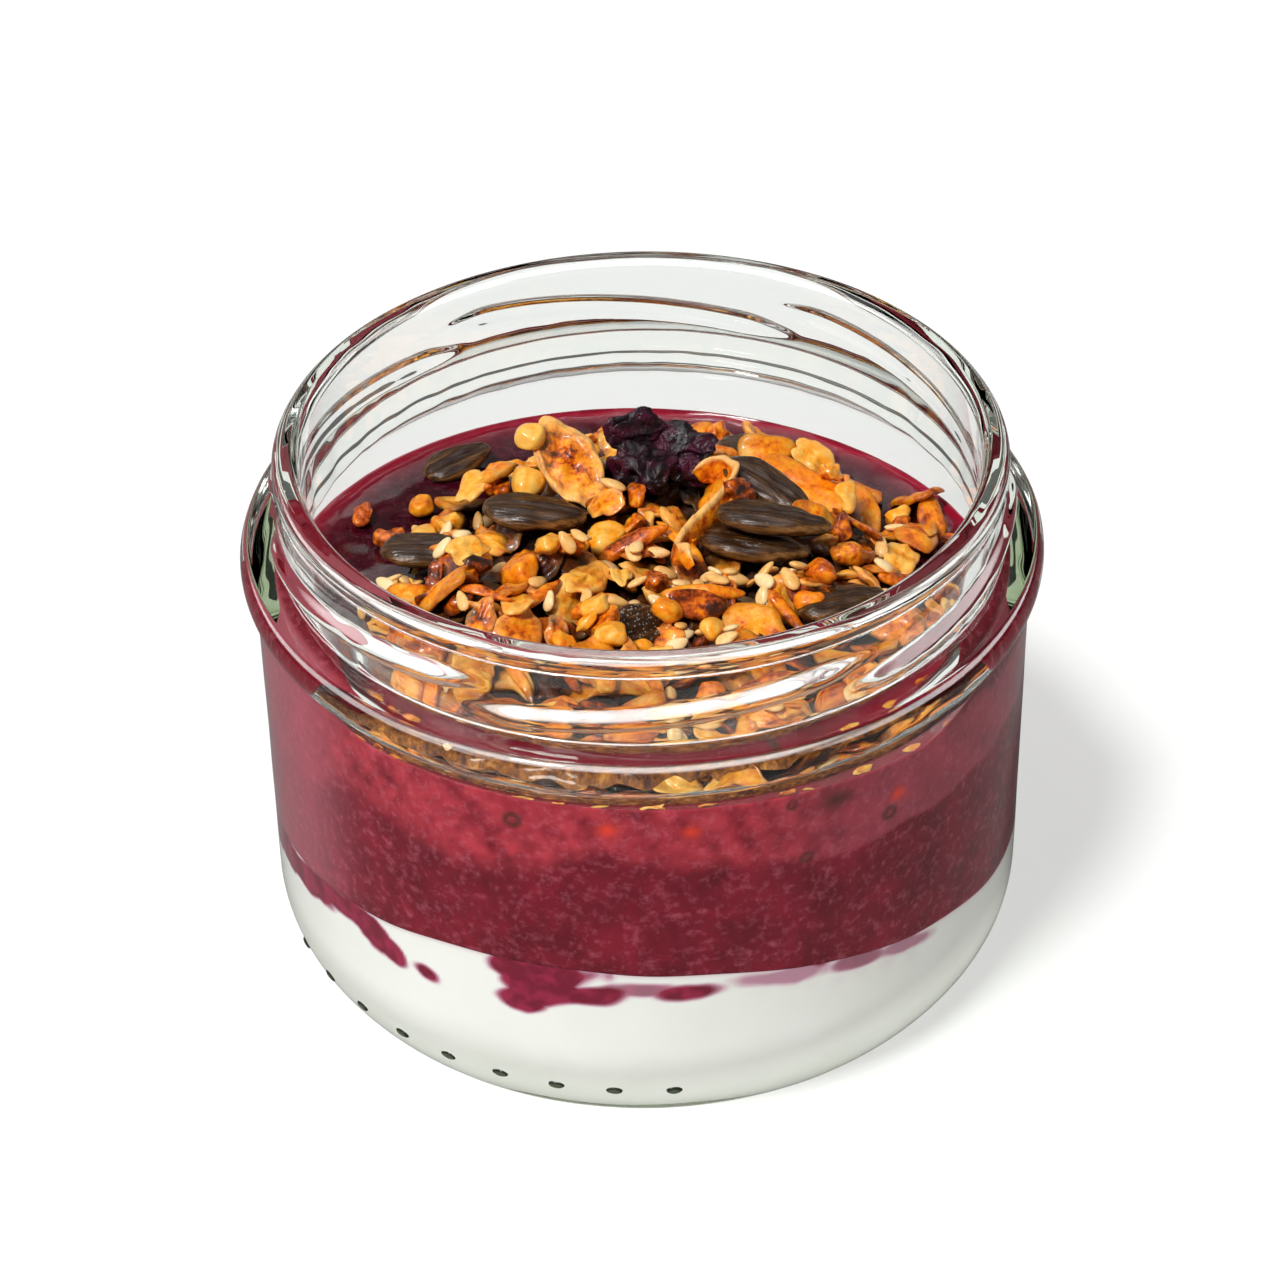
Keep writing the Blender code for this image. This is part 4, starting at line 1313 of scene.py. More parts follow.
@dataclass
class Bed:
    """A height map of the heap, in millimetres, on which each bit comes to rest."""

    layers: Layers
    cell: float = 0.25
    half: float = 40.0
    core_drop: float = 3.0
    wall_radius: float = 34.9
    side_gap: float = 1.8
    back_radius: float = 33.8
    left_radius: float = 28.5
    edge_back: float = 2.2
    edge_front: float = 5.2
    crown: float = 6.0
    steepest: float = 0.55
    sink: float = 0.42
    bearing: float = 72.0
    clearance: float = 0.25

    def __post_init__(self) -> None:
        """Start with the smoothie's surface and the core of the heap."""
        axis = np.arange(-self.half, self.half + self.cell, self.cell)
        self.x, self.y = np.meshgrid(axis, axis, indexing="ij")
        liquid = self.layers.surface(self.x * MM, self.y * MM) / MM
        self.height = np.maximum(liquid, self.core(self.x, self.y))
        self.kept = np.zeros(self.height.shape, bool)

    def edge(self, angle: np.ndarray) -> np.ndarray:
        """How far the heap reaches at each angle."""
        degrees = np.mod(np.degrees(angle), 360.0)
        # It draws in behind from the right, further in at the back left, and out again at the left.
        behind = smooth_step(np.where(degrees > 180.0, degrees - 350.0, degrees + 10.0) / 30.0)
        left = smooth_step((degrees - 100.0) / 25.0)
        wall = smooth_step((degrees - 165.0) / 40.0)
        # Beside the front it leaves a gap at the glass, where the smoothie clings.
        off = np.mod(degrees - 90.0, 360.0) - 180.0
        aside = smooth_step((np.abs(off) - 46.0) / 14.0) * smooth_step((84.0 - off) / 14.0)
        outer = self.wall_radius - self.side_gap * aside
        reach = outer + (self.back_radius - outer) * behind
        more = (self.left_radius - self.back_radius) * left + (outer - self.left_radius) * wall
        return np.where(degrees > 350.0, reach, reach + more)

    def rise(self, x: np.ndarray, y: np.ndarray) -> np.ndarray:
        """How high the heap stands over the smoothie."""
        share = np.hypot(x, y) / self.edge(np.arctan2(y, x))
        front = smooth_step(0.5 - y / 30.0)
        edge = self.edge_back + (self.edge_front - self.edge_back) * front
        return edge + (self.crown - edge) * smooth_step((1.0 - share) / 0.55)

    def core(self, x: np.ndarray, y: np.ndarray) -> np.ndarray:
        """Height of the hidden core under the loose bits."""
        share = np.hypot(x, y) / self.edge(np.arctan2(y, x))
        liquid = self.layers.surface(x * MM, y * MM) / MM
        return np.where(share < 0.97, liquid + self.rise(x, y) - self.core_drop, liquid - 4.0)

    def inward(self, bit: Bit, top: float) -> Bit:
        """Move a bit inward until it clears the glass where it lies."""
        reach = math.hypot(bit.x, bit.y)
        if reach < 1.0:
            return bit
        off = math.atan2(bit.y, bit.x) - math.radians(bit.yaw)
        room = math.hypot(bit.length / 2.0 * math.cos(off), bit.width / 2.0 * math.sin(off))
        limit = float(self.layers.jar.bore(top * MM)) / MM - self.clearance - room
        share = min(1.0, limit / reach)
        return replace(bit, x=bit.x * share, y=bit.y * share)

    def window(self, bit: Bit) -> tuple[tuple[slice, slice], np.ndarray, np.ndarray, np.ndarray]:
        """Cells that a bit covers, their places along and across it, and their share of its reach."""
        reach = bit.length / 2.0 + self.cell
        area = []
        for value in (bit.x, bit.y):
            low = int((value - reach + self.half) / self.cell)
            high = int((value + reach + self.half) / self.cell) + 2
            area.append(slice(max(0, low), high))
        cells = (area[0], area[1])
        yaw = math.radians(bit.yaw)
        dx, dy = self.x[cells] - bit.x, self.y[cells] - bit.y
        along = dx * math.cos(yaw) + dy * math.sin(yaw)
        across = dy * math.cos(yaw) - dx * math.sin(yaw)
        share = (2.0 * along / bit.length) ** 2 + (2.0 * across / max(bit.width, 2.0 * self.cell)) ** 2
        return cells, along, across, share

    def rest(self, bit: Bit, thick: float, lean: tuple[float, float], keep: bool) -> Matrix:
        """Let a bit come to rest on what lies under it.

        Args:
            bit: the bit.
            thick: its thickness.
            lean: extra slope along and across it.
            keep: whether later bits should leave it in view.

        Returns:
            Its place and turn.
        """
        cells, along, across, share = self.window(bit)
        inside = share <= 1.0
        heights = self.height[cells][inside]
        u, v = along[inside], across[inside]
        table = np.stack([np.ones_like(u), u, v], 1)
        fitted = np.linalg.lstsq(table, heights, rcond=None)[0]
        slope = np.clip(fitted[1:], -self.steepest, self.steepest) + np.array(lean)
        base = float(np.percentile(heights - slope[0] * u - slope[1] * v, self.bearing))
        lid = base + slope[0] * along + slope[1] * across + thick * np.sqrt(np.clip(1.0 - share, 0.0, 1.0))
        self.height[cells] = np.where(inside, np.maximum(self.height[cells], lid), self.height[cells])
        if keep:
            self.kept[cells] |= share <= 0.8
        yaw = math.radians(bit.yaw)
        side = Vector((math.cos(yaw), math.sin(yaw), slope[0])).normalized()
        up = side.cross(Vector((-math.sin(yaw), math.cos(yaw), slope[1]))).normalized()
        turn = Matrix((side, up.cross(side), up)).transposed().to_4x4()
        return Matrix.Translation((bit.x, bit.y, base + thick * self.sink)) @ turn

    def stamp(self, place: Vector, turn: Matrix, size: Sequence[float]) -> None:
        """Raise the map under a topping whose place is already settled, and keep it in view."""
        yaw = math.degrees(math.atan2(turn[1][0], turn[0][0]))
        cells, _, _, share = self.window(Bit(Kind.SLICE, place.x, place.y, yaw, size[0], size[1], 0.0))
        up = turn.to_3x3().col[2]
        run = -(up.x * (self.x[cells] - place.x) + up.y * (self.y[cells] - place.y)) / max(up.z, 0.3)
        lid = place.z + np.clip(run, -4.0, 4.0) + size[2] / 2.0 * np.sqrt(np.clip(1.0 - share, 0.0, 1.0))
        self.height[cells] = np.where(share <= 1.0, np.maximum(self.height[cells], lid), self.height[cells])
        self.kept[cells] |= share <= 0.95

    def hides(self, bit: Bit) -> float:
        """Share of a bit's footprint that would lie on bits kept in view."""
        cells, _, _, share = self.window(bit)
        inside = share <= 1.0
        return float(self.kept[cells][inside].mean()) if inside.any() else 1.0


@dataclass
class Granola:
    """The heap: a dark core, and loose bits of every kind that rest on it; in millimetres."""

    layers: Layers
    seed: int = 41
    under: int = 300
    over: int = 130
    sprinkle: int = 60
    floating: int = 18
    tries: int = 12
    handful_tries: int = 16
    # Strength of the painted shade on bits that lie deep in the heap.
    gloom: float = 0.92
    near_wall: tuple[float, float] = (31.0, 4.0)
    # How much lighter bits near the glass in front are made, as painted light.
    painted_front_light: float = 0.3
    wall_gap: float = 0.12
    shore_arc: tuple[float, float] = (-145.0, -34.0)
    shore_radius: float = 38.7
    core_around: int = 160
    core_rings: int = 46
    core_inset: float = 2.8
    core_floor: float = 41.0

    def __post_init__(self) -> None:
        """Start the bed and the lists of bits."""
        self.bed = Bed(self.layers)
        self.draw = random.Random(self.seed)
        self.shapes: dict[Kind, list[Shape]] = {kind: [] for kind in Kind}

    def drop(self, bit: Bit, keep: bool, calm: float = 1.0) -> None:
        """Shape one bit, let it come to rest and remember it."""
        facts = FACTS[bit.kind]
        thick = bit.width * facts.form.thick
        cells = self.bed.window(bit)[0]
        bit = self.bed.inward(bit, float(self.bed.height[cells].mean()) + thick)
        tip = math.tan(math.radians(facts.lean * calm))
        lean = (self.draw.uniform(-tip, tip), self.draw.uniform(-tip, tip))
        turn = self.bed.rest(bit, thick, lean, keep)
        shape = facts.form.build(bit.length, bit.width, self.draw.randrange(10**6))
        if self.draw.random() < 0.5:
            turn = turn @ Matrix.Rotation(math.pi, 4, "X")
        points = self.held(shape.moved(turn))
        # Painted light: bits near the glass in front get a lighter tone, as if lit through it.
        start, grow = self.near_wall
        painted_front_light = self.painted_front_light * smooth_step((math.hypot(bit.x, bit.y) - start) / grow) if bit.y < 0.0 else 0.0
        values = {"rim": shape.values["rim"], "tone": np.full(len(points), bit.tone + painted_front_light)}
        self.shapes[bit.kind].append(Shape(points, shape.faces, values))

    def held(self, points: np.ndarray) -> np.ndarray:
        """Press points that would pass through the glass back inside it."""
        reach = np.hypot(points[:, 0], points[:, 1])
        limit = self.layers.jar.bore(points[:, 2] * MM) / MM - self.wall_gap
        share = np.where(reach > limit, limit / np.maximum(reach, 1.0), 1.0)
        points[:, :2] *= share[:, None]
        return points

    def random_place(self, spare: float) -> tuple[float, float]:
        """An even random place inside the heap's outline."""
        while True:
            x, y = self.draw.uniform(-38.0, 38.0), self.draw.uniform(-38.0, 38.0)
            if math.hypot(x, y) < float(self.bed.edge(np.arctan2(y, x))) - spare:
                return x, y

    def scatter(self, weights: dict[Kind, float], count: int, limit: float, dark: float, keep: bool) -> None:
        """Drop random bits where they hide little of what is kept in view.

        Args:
            weights: how common each kind is.
            count: number of bits.
            limit: largest share of a footprint that may hide kept bits.
            dark: how much darker than usual they are.
            keep: whether later bits should leave them in view.
        """
        for _ in range(count):
            kind = self.draw.choices(list(weights), list(weights.values()))[0]
            length = self.draw.uniform(*FACTS[kind].length)
            width = length * self.draw.uniform(*FACTS[kind].width)
            low, high = FACTS[kind].tone
            tone = self.draw.triangular(low - 0.2, high + 0.15, (low + high) / 2.0) - dark
            for _ in range(self.tries):
                x, y = self.random_place(length * 0.4)
                bit = Bit(kind, x, y, self.draw.uniform(0.0, 180.0), length, width, tone)
                if self.bed.hides(bit) <= limit:
                    self.drop(bit, keep)
                    break

    def handful(self, patch: Patch) -> None:
        """Drop one handful round its place."""
        facts = FACTS[patch.kind]
        for _ in range(patch.count):
            length = self.draw.uniform(*facts.length)
            width = length * self.draw.uniform(*facts.width)
            for _ in range(self.handful_tries):
                x, y = (self.draw.gauss(middle, patch.spread * 0.6) for middle in (patch.x, patch.y))
                yaw = self.draw.uniform(0.0, 180.0)
                bit = Bit(patch.kind, x, y, yaw, length, width, self.draw.uniform(*facts.tone))
                if self.bed.hides(bit) <= 0.25:
                    self.drop(bit, True)
                    break

    def pile(self, settled: Sequence[tuple[Vector, Matrix, Sequence[float]]]) -> None:
        """Drop everything in order: filling, toppings, laid bits, handfuls, then more on top.

        Args:
            settled: place, turn and size of each big topping, in millimetres.
        """
        filling = {Kind.KERNEL: 1.5, Kind.OAT: 4.0, Kind.CHUNK: 3.0, Kind.STICK: 2.0, Kind.SLICE: 2.0}
        self.scatter(filling, self.under, 1.0, 0.1, False)
        for place, turn, size in settled:
            self.bed.stamp(place, turn, size)
        for bit in LAID:
            self.drop(bit, True, 0.5)
        for patch in PATCHES:
            self.handful(patch)
        covering = {Kind.KERNEL: 1.0, Kind.OAT: 3.0, Kind.CHUNK: 1.5, Kind.STICK: 2.5, Kind.SLICE: 3.0}
        self.scatter(covering, self.over, 0.12, 0.0, True)
        self.scatter({Kind.SESAME: 1.0}, self.sprinkle, 0.3, 0.0, False)
        self.shore()

    def shore(self) -> None:
        """Float a line of small crumbs on the smoothie against the glass, along the front."""
        kinds = (Kind.CHUNK, Kind.OAT, Kind.SLICE)
        for _ in range(self.floating):
            turn = self.draw.uniform(*self.shore_arc)
            length = self.draw.uniform(1.2, 2.8)
            width = self.draw.uniform(0.8, 1.1)
            reach = self.shore_radius - width / 2.0
            x, y = reach * math.cos(math.radians(turn)), reach * math.sin(math.radians(turn))
            tone = self.draw.uniform(0.25, 0.8)
            self.drop(Bit(self.draw.choice(kinds), x, y, turn + 90.0, length, width, tone), False, 0.2)

    def sunk(self, points: np.ndarray) -> np.ndarray:
        """Painted shade: how deep each point lies between its neighbours, from 0 in the open to gloom, and
        none near the glass in front, where light reaches.
        """
        spread = 9
        kernel = np.ones(2 * spread + 1) / (2 * spread + 1)
        level = self.bed.height
        for axis in (0, 1):
            level = np.apply_along_axis(np.convolve, axis, level, kernel, "same")
        cells = ((points[:, :2] + self.bed.half) / self.bed.cell).round().astype(int)
        cells = np.clip(cells, 0, level.shape[0] - 1)
        below = level[cells[:, 0], cells[:, 1]] - points[:, 2]
        start, grow = self.near_wall
        lit = smooth_step((np.hypot(points[:, 0], points[:, 1]) - start) / grow)
        lit *= smooth_step((4.0 - points[:, 1]) / 8.0)
        return self.gloom * smooth_step((below + 0.4) / 2.4) * (1.0 - lit)

    def show_bits(self) -> None:
        """Make one piece of each kind of bit."""
        for kind, shapes in self.shapes.items():
            for shape in shapes:
                shape.values["sunk"] = self.sunk(shape.points)
            install(joined(shapes).show(kind.value, [FACTS[kind].finish]), "granola")

    def show_core(self) -> None:
        """The hidden middle of the heap, standing for the whole solid heap: its crumbs are painted shade,
        near black in the middle and lighter towards its edge at the glass.
        """
        angle = np.arange(self.core_around) * TAU / self.core_around
        edge = self.bed.edge(angle) - self.core_inset
        front = smooth_step(0.3 - 2.0 * np.sin(angle))
        found = []
        for step in range(1, self.core_rings + 1):
            share = step / self.core_rings
            x, y = edge * share * np.cos(angle), edge * share * np.sin(angle)
            rough = waves(np.stack([x, y], 1), 2.4, 77) * 0.45
            drop = 3.5 * smooth_step((share - 0.93) / 0.07) * (1.0 - front)
            found.append(np.stack([x, y, self.bed.core(x * 0.96, y * 0.96) + rough - drop], 1))
        # In front it ends in a steep bank against the glass.
        for out, up in ((1.9, 3.8), (2.3, 2.2), (2.5, 0.0)):
            reach = edge + out * front
            x, y = reach * np.cos(angle), reach * np.sin(angle)
            liquid = self.layers.surface(x * MM, y * MM) / MM
            rough = waves(np.stack([x, y], 1), 2.0, 79) * 0.4
            found.append(np.stack([x, y, liquid + up - 0.8 + rough - 3.0 * (1.0 - front)], 1))
        low = found[-1].copy()
        low[:, 2] = self.core_floor
        found.append(low)
        points = self.held(np.concatenate(found))
        middle = float(self.bed.core(np.zeros(1), np.zeros(1))[0])
        points = np.vstack([points, [0.0, 0.0, middle], [0.0, 0.0, self.core_floor]])
        faces = closed_faces(len(found), self.core_around, True)
        # Painted shade: the core's tone is very low in its middle and rises towards its edge, where it shows
        # at the glass.
        outward = np.hypot(points[:, 0], points[:, 1]) / 34.0
        tone = 0.12 + 0.1 * waves(points, 3.0, 78) + 0.5 * smooth_step((outward - 0.84) / 0.14)
        shape = Shape(points * MM, faces, {"tone": tone, "rim": np.zeros(len(points))})
        finish = ToastedFood("packed_granola_crumb_painted_shade", CORE_SHADE, mottle=1.2, spread=0.25, relief=0.3, roughness=0.6)
        install(shape.show("granola_core", [finish]), "granola", "granola_heap")


def turned(turn: Sequence[float]) -> Matrix:
    """The matrix of turns about x, y and z, in degrees."""
    return Euler([math.radians(angle) for angle in turn], "XYZ").to_matrix().to_4x4()


@dataclass(frozen=True)
class Topping:
    """One big topping: its size in millimetres, its turn in degrees, and what it is made like."""

    node: str
    size: tuple[float, float, float]
    turn: tuple[float, float, float]
    form: Form
    finish: Finish
    slot: str
    tone: float = 0.5
    dip: float = 0.0

    def place(self) -> Vector:
        """Middle of the CAD node that it stands for, in millimetres, less how far it has sunk in."""
        low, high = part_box(self.node)
        return (low + high) / 2.0 / MM - Vector((0.0, 0.0, self.dip))

    def rotation(self) -> Matrix:
        """Its turn as a matrix."""
        return turned(self.turn)

    def build(self, seed: int) -> None:
        """Make the piece at its place, so that its pattern follows its own axes."""
        piece = joined(self.shapes(seed)).show("dressed_" + self.node, [self.finish])
        piece.matrix_world = Matrix.Translation(self.place() * MM) @ self.rotation()
        install(piece, self.slot, self.node)

    def shapes(self, seed: int) -> list[Shape]:
        """What it is made of, round its own middle."""
        shape = self.form.build(self.size[0], self.size[1], seed)
        shape.values["tone"] = np.full(len(shape.points), self.tone)
        return [shape]


@dataclass(frozen=True)
class Fold:
    """One fold of a shrivelled fruit: place and size in millimetres, turn in degrees."""

    place: tuple[float, float, float]
    size: tuple[float, float, float]
    turn: tuple[float, float, float]


@dataclass(frozen=True)
class FoldedTopping(Topping):
    """A topping made of several folds of skin pressed together."""

    folds: tuple[Fold, ...] = ()

    def shapes(self, seed: int) -> list[Shape]:
        """The folds, each flattened, turned and put in its place."""
        found = []
        for number, fold in enumerate(self.folds):
            shape = self.form.build(fold.size[0], fold.size[1], seed + 40 * number)
            flat = Matrix.Diagonal((1.0, 1.0, fold.size[2] / (fold.size[1] * self.form.thick), 1.0))
            points = shape.moved(Matrix.Translation(fold.place) @ turned(fold.turn) @ flat)
            found.append(Shape(points, shape.faces, shape.values))
        return found


@dataclass
class Toppings:
    """Pumpkin seeds, the toasted flake, the almond slice and the dried fruit; in millimetres."""

    seed_width: float = 5.4
    seed_depth: float = 2.3
    sugared_seed: int = 8
    afloat_seed: int = 1
    afloat_dip: float = 0.7

    def __post_init__(self) -> None:
        """List every topping with its turn."""
        plain = VeinedSeedSkin("roasted_pumpkin_seed")
        sugared = VeinedSeedSkin("sugared_pumpkin_seed", sparkle=0.4)
        form = Form(
            thick=self.seed_depth / self.seed_width,
            crown=2.6,
            point=0.3,
            ragged=0.015,
            groove_pitch=1.5,
            groove_depth=0.1,
            crumple=0.1,
            crumple_size=3.5,
            ridge=0.12,
            lump=0.02,
            spokes=48,
            rings=12,
        )
        # Length, width and turn of each, in the order of their nodes.
        seeds = (
            (8.6, 4.6, (6, -4, 32)), (11.4, 5.4, (-4, 2, -2)), (11.6, 5.6, (0, 3, -10)),
            (10.8, 5.4, (-8, 2, -2)), (12.0, 5.4, (0, 12, -38)), (12.8, 5.0, (-2, 2, -13)),
            (12.2, 5.6, (-2, 3, -15)), (7.4, 5.6, (48, 10, 40)), (10.2, 5.6, (-8, 0, 16)),
        )
        self.all: list[Topping] = []
        for number, (length, width, turn) in enumerate(seeds, 1):
            finish = sugared if number == self.sugared_seed else plain
            dip = self.afloat_dip if number == self.afloat_seed else 0.0
            size = (length, width, self.seed_depth)
            self.all.append(
                Topping(f"pumpkin_seed_{number}", size, turn, form, finish, "pumpkin_seeds", dip=dip)
            )
        flake = Form(
            thick=0.2, crown=5.0, ragged=0.06, ragged_turns=2.0, bend=0.05, cup=0.08, crumple=0.3,
            crumple_size=3.0, ridge=0.35, spokes=64, rings=14,
        )
        browned = ToastedFood(
            "toasted_coconut_chip", rim="#F8C878", rim_share=0.7, mottle=2.4, spread=0.6, relief=0.12
        )
        self.all.append(
            Topping("toasted_flake", (12.0, 6.8, 1.5), (6, 28, -54), flake, browned, "toasted_slices", 0.36)
        )
        leaf = Form(
            thick=0.19, crown=6.0, point=0.1, ragged=0.03, bend=0.06, cup=-0.1, crumple=0.12, spokes=56,
            rings=12,
        )
        smooth = ToastedFood("roasted_almond_slice", rim_share=0.3, mottle=3.4, spread=0.24, relief=0.04)
        self.all.append(
            Topping("almond_slice", (11.6, 7.0, 1.3), (8, 8, -38), leaf, smooth, "toasted_slices", 0.5)
        )
        shrivelled = Form(
            thick=0.66, crown=2.4, ragged=0.08, ragged_turns=2.2, crumple=0.14, crumple_size=1.8, lump=0.1,
            shrivel=0.3, spokes=64, rings=18,
        )
        folds = (
            Fold((-1.6, -0.4, -0.6), (8.4, 7.4, 5.6), (0, 0, 0)),
            Fold((3.4, -1.9, -0.2), (7.0, 3.6, 3.2), (0, 6, -8)),
            Fold((2.2, 2.2, 1.2), (9.0, 4.6, 1.3), (48, 0, -14)),
            Fold((-2.4, 2.6, 2.8), (7.4, 5.0, 0.9), (68, -12, 10)),
        )
        fruit = DriedFruitSkin("dried_dark_fruit")
        self.all.append(
            FoldedTopping(
                "dried_berry", (11.0, 9.4, 6.8), (0, 6, 12), shrivelled, fruit, "dried_fruit", folds=folds
            )
        )

    def settled(self) -> list[tuple[Vector, Matrix, tuple[float, float, float]]]:
        """Place, turn and size of each topping, in millimetres."""
        return [(topping.place(), topping.rotation(), topping.size) for topping in self.all]

    def build(self) -> None:
        """Make every topping."""
        for number, topping in enumerate(self.all):
            topping.build(500 + number)


@dataclass
class CoconutCurl:
    """A long toasted curl of coconut, on its edge between the seeds; in millimetres."""

    route: Profile = field(
        default_factory=lambda: [
            (5.5, 12.0), (9.0, 12.2), (10.0, 9.5), (8.3, 5.5), (5.8, 2.0), (4.0, -0.8), (3.8, -2.8),
            (5.6, -5.8),
        ]
    )
    top: float = 53.8
    deep: float = 3.0
    thick: float = 0.9
    lean: float = 0.25
    sway: float = 0.5
    tone: float = 0.42
    steps: int = 10
    around: int = 20

    def line(self) -> np.ndarray:
        """The route rounded through its points."""
        knots = np.array([self.route[0], *self.route, self.route[-1]])
        found = []
        for first in range(len(knots) - 3):
            a, b, c, d = knots[first : first + 4]
            for step in range(self.steps):
                t = step / self.steps
                bend = 2.0 * b + (c - a) * t + (2.0 * a - 5.0 * b + 4.0 * c - d) * t**2
                found.append((bend + (3.0 * b - a - 3.0 * c + d) * t**3) / 2.0)
        return np.array(found)

    def build(self) -> None:
        """Sweep a thin rounded strip along the route."""
        line = self.line()
        ahead = np.gradient(line, axis=0)
        ahead /= np.linalg.norm(ahead, axis=1)[:, None]
        side = np.stack([-ahead[:, 1], ahead[:, 0]], 1)
        share = np.linspace(0.0, 1.0, len(line))
        taper = smooth_step(np.minimum(share, 1.0 - share) / 0.08 + 0.1)
        turn = np.arange(self.around) * TAU / self.around
        across, up = np.cos(turn), np.sin(turn)
        points, rim = [], []
        for number, (x, y) in enumerate(line):
            wide = self.thick / 2.0 * taper[number]
            high = self.deep / 2.0 * taper[number]
            lean = self.lean * np.sin(share[number] * 9.0)
            height = self.top - self.deep / 2.0 + self.sway * math.sin(share[number] * 7.0) + high * up
            shift = wide * np.sign(across) * np.abs(across) ** 0.6 + lean * high * up
            points.append(np.stack([x + side[number, 0] * shift, y + side[number, 1] * shift, height], 1))
            rim.append(smooth_step((up - 0.55) / 0.3))
        points = np.concatenate(points)
        points += 0.2 * waves(points, 2.8, 88)[:, None]
        middles = [points[: self.around].mean(axis=0), points[-self.around :].mean(axis=0)]
        faces = closed_faces(len(line), self.around)
        values = {"rim": np.concatenate([*rim, [0.0, 0.0]]), "tone": np.full(len(points) + 2, self.tone)}
        shape = Shape(np.vstack([points, *middles]) * MM, faces, values)
        finish = ToastedFood("toasted_coconut_curl", rim="#F6C87C", rim_share=0.7, mottle=2.0, spread=0.45)
        install(shape.show("coconut_curl", [finish]), "toasted_slices")


@dataclass
class MouldDots:
    """Nine small raised dots that the mould leaves round the heel, evenly spaced; in millimetres."""

    jar: GlassJar
    count: int = 9
    first: float = math.radians(-157.0)
    pitch: float = math.radians(8.8)
    height: float = 9.7
    length: float = 1.8
    width: float = 1.1

    def build(self) -> None:
        """Lay a flat dome at each dot on the outer face of the heel."""
        form = Form(thick=0.5, crown=2.0, ragged=0.04, crumple=0.0, lump=0.02, spokes=24)
        centre = self.jar.low_radius - self.jar.heel_width
        power = self.jar.heel_power
        share = (1.0 - (1.0 - self.height * MM / self.jar.heel_height) ** power) ** (1.0 / power)
        radius = (centre + self.jar.heel_width * share) / MM
        shapes = []
        for number in range(self.count):
            angle = self.first + self.pitch * number
            out = Vector((math.cos(angle), math.sin(angle), -0.25)).normalized()
            side = Vector((-math.sin(angle), math.cos(angle), 0.0))
            turn = Matrix((side, out.cross(side), out)).transposed().to_4x4()
            place = Matrix.Translation((radius * math.cos(angle), radius * math.sin(angle), self.height))
            shape = form.build(self.length, self.width, 900 + number)
            shapes.append(Shape(shape.moved(place @ turn), shape.faces, shape.values))
        # Painted shade: the clear glass dots are drawn opaque dark grey-green, darkest at their rim, for how
        # refraction darkens them.
        dots = joined(shapes).show("mould_dots", [RimmedSpot("shadowed_glass_dot")])
        dots.visible_shadow = dots.visible_diffuse = dots.visible_glossy = False
        install(dots, "jar_glass")


# ----------------------------------------------------------------- the studio


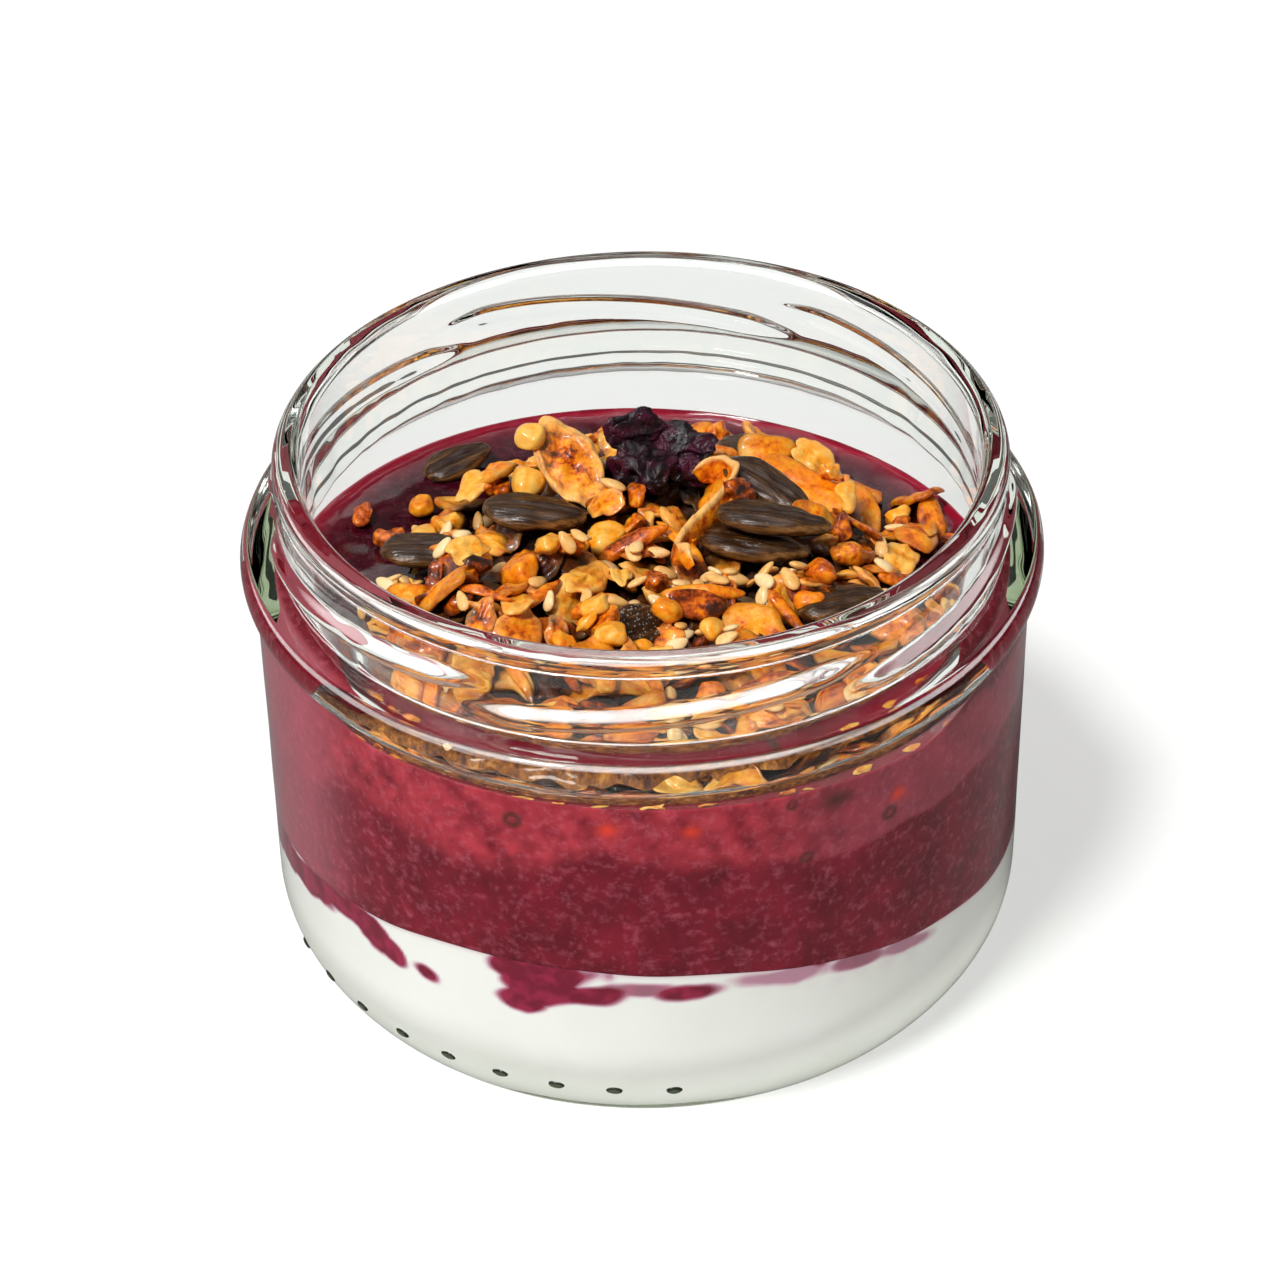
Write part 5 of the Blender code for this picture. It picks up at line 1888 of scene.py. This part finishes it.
@dataclass
class Studio:
    """Floor, camera, lamps and the room round them; in metres."""

    target: tuple[float, float, float] = (0.0, 0.0, 32.37 * MM)
    distance: float = 468.0 * MM
    elevation: float = 0.651
    roll: float = -0.0167
    lens: float = 119.37
    shift_x: float = -0.0027
    shift_y: float = 0.0348
    floor_reach: float = 1.2
    sun_strength: float = 2.9
    sun_width: float = math.radians(11.0)
    sun_from: tuple[float, float, float] = (-0.35, -0.455, 0.819)
    panel_place: tuple[float, float, float] = (-0.3, 0.2, 1.5)
    panel_size: float = 1.2
    panel_watts: float = 7.0
    room: str = "#9A9A98"
    room_strength: float = 0.5
    backdrop: str = "#F2F2F0"
    window_glow: float = 15.0
    wing_glow: float = 9.0

    def floor(self) -> bpy.types.Object:
        """A wide flat board under the jar."""
        reach = self.floor_reach
        corners = np.array(
            [(-reach, -reach, 0.0), (reach, -reach, 0.0), (reach, reach, 0.0), (-reach, reach, 0.0)]
        )
        board = Shape(corners, [(0, 1, 2, 3)], {}).show("floor", [PaleBoard("white_studio_board")])
        return board

    def camera(self) -> bpy.types.Object:
        """The camera, high in front, with a long lens."""
        data = bpy.data.cameras.new("camera")
        data.lens = self.lens
        data.sensor_width = 36.0
        data.shift_x = self.shift_x
        data.shift_y = self.shift_y
        data.clip_start = 0.01
        data.clip_end = 20.0
        camera = bpy.data.objects.new("camera", data)
        bpy.context.scene.collection.objects.link(camera)
        back = Vector((0.0, -math.cos(self.elevation), math.sin(self.elevation)))
        camera.location = Vector(self.target) + back * self.distance
        look = (-back).to_track_quat("-Z", "Y").to_matrix()
        camera.rotation_euler = (look @ Matrix.Rotation(self.roll, 3, "Z")).to_euler()
        bpy.context.scene.camera = camera
        return camera

    def light(self) -> None:
        """A sun from the front left, and a soft panel overhead."""
        sun = bpy.data.lights.new("key_sun", "SUN")
        sun.energy = self.sun_strength
        sun.angle = self.sun_width
        self.hang(sun, (0.0, 0.0, 0.0), -Vector(self.sun_from))
        panel = bpy.data.lights.new("overhead_panel", "AREA")
        panel.shape = "SQUARE"
        panel.size = self.panel_size
        panel.energy = self.panel_watts
        self.hang(panel, self.panel_place, Vector(self.target) - Vector(self.panel_place))

    def hang(self, data: bpy.types.Light, place: tuple[float, float, float], aim: Vector) -> None:
        """Put a lamp at its place, facing along aim."""
        lamp = bpy.data.objects.new(data.name, data)
        bpy.context.scene.collection.objects.link(lamp)
        lamp.location = place
        lamp.rotation_euler = aim.to_track_quat("-Z", "Y").to_euler()

    def surroundings(self) -> None:
        """A pale room, with a window high in front and two at the sides that only clear glass mirrors."""
        world = bpy.data.worlds.new("pale_room")
        world.use_nodes = True
        tree = world.node_tree
        tree.nodes.clear()
        room = add_node(tree, "Background", {"Color": linear(self.room), "Strength": self.room_strength})
        seen = add_node(tree, "Background", {"Color": linear(self.backdrop), "Strength": 1.0})
        path = add_node(tree, "LightPath")
        both = add_node(tree, "MixShader", {0: path.outputs["Is Camera Ray"], 1: room, 2: seen})
        toward = add_node(tree, "SeparateXYZ", {0: add_node(tree, "TexCoord").outputs["Generated"]})
        right, back, up = (toward.outputs[axis] for axis in "XYZ")
        front = add_node(tree, "MapRange", {0: back, 1: 0.05, 2: -0.3, 3: 0.0, 4: 1.0})
        high = add_node(tree, "MapRange", {0: up, 1: 0.4, 2: 0.65, 3: 0.0, 4: self.window_glow})
        side = add_node(tree, "MapRange", {0: right, 1: 0.7, 2: 0.5, 3: 0.0, 4: 1.0})
        pane = add_node(tree, "Math", {0: front, 1: side}, operation="MULTIPLY")
        shine = add_node(tree, "Math", {0: pane, 1: high}, operation="MULTIPLY")
        aside = add_node(tree, "Math", {0: right}, operation="ABSOLUTE")
        wings = add_node(tree, "MapRange", {0: aside, 1: 0.6, 2: 0.75, 3: 0.0, 4: self.wing_glow})
        above = add_node(tree, "MapRange", {0: up, 1: 0.2, 2: 0.32, 3: 0.0, 4: 1.0})
        wing = add_node(tree, "Math", {0: wings, 1: above}, operation="MULTIPLY")
        panes = add_node(tree, "Math", {0: shine, 1: wing}, operation="MAXIMUM")
        window = add_node(tree, "Background", {"Color": linear("#FFFFFF"), "Strength": panes})
        clear = {0: mirrored(tree), 1: path.outputs["Is Singular Ray"]}
        sharp = add_node(tree, "Math", clear, operation="MULTIPLY")
        every = add_node(tree, "MixShader", {0: sharp, 1: both, 2: window})
        add_node(tree, "OutputWorld", {"Surface": every})
        bpy.context.scene.world = world
        bpy.context.scene.view_settings.view_transform = "Standard"


def main() -> None:
    """Build every part of the jar and the studio in order."""
    logging.basicConfig(level=logging.INFO, format="%(message)s")
    jar = GlassJar()
    jar.build()
    layers = Layers(jar)
    layers.yogurt()
    layers.smoothie()
    granola = Granola(layers)
    granola.show_core()
    toppings = Toppings()
    granola.pile(toppings.settled())
    granola.show_bits()
    toppings.build()
    CoconutCurl().build()
    MouldDots(jar).build()
    studio = Studio()
    studio.floor()
    studio.camera()
    studio.light()
    studio.surroundings()


if __name__ == "__main__":
    main()
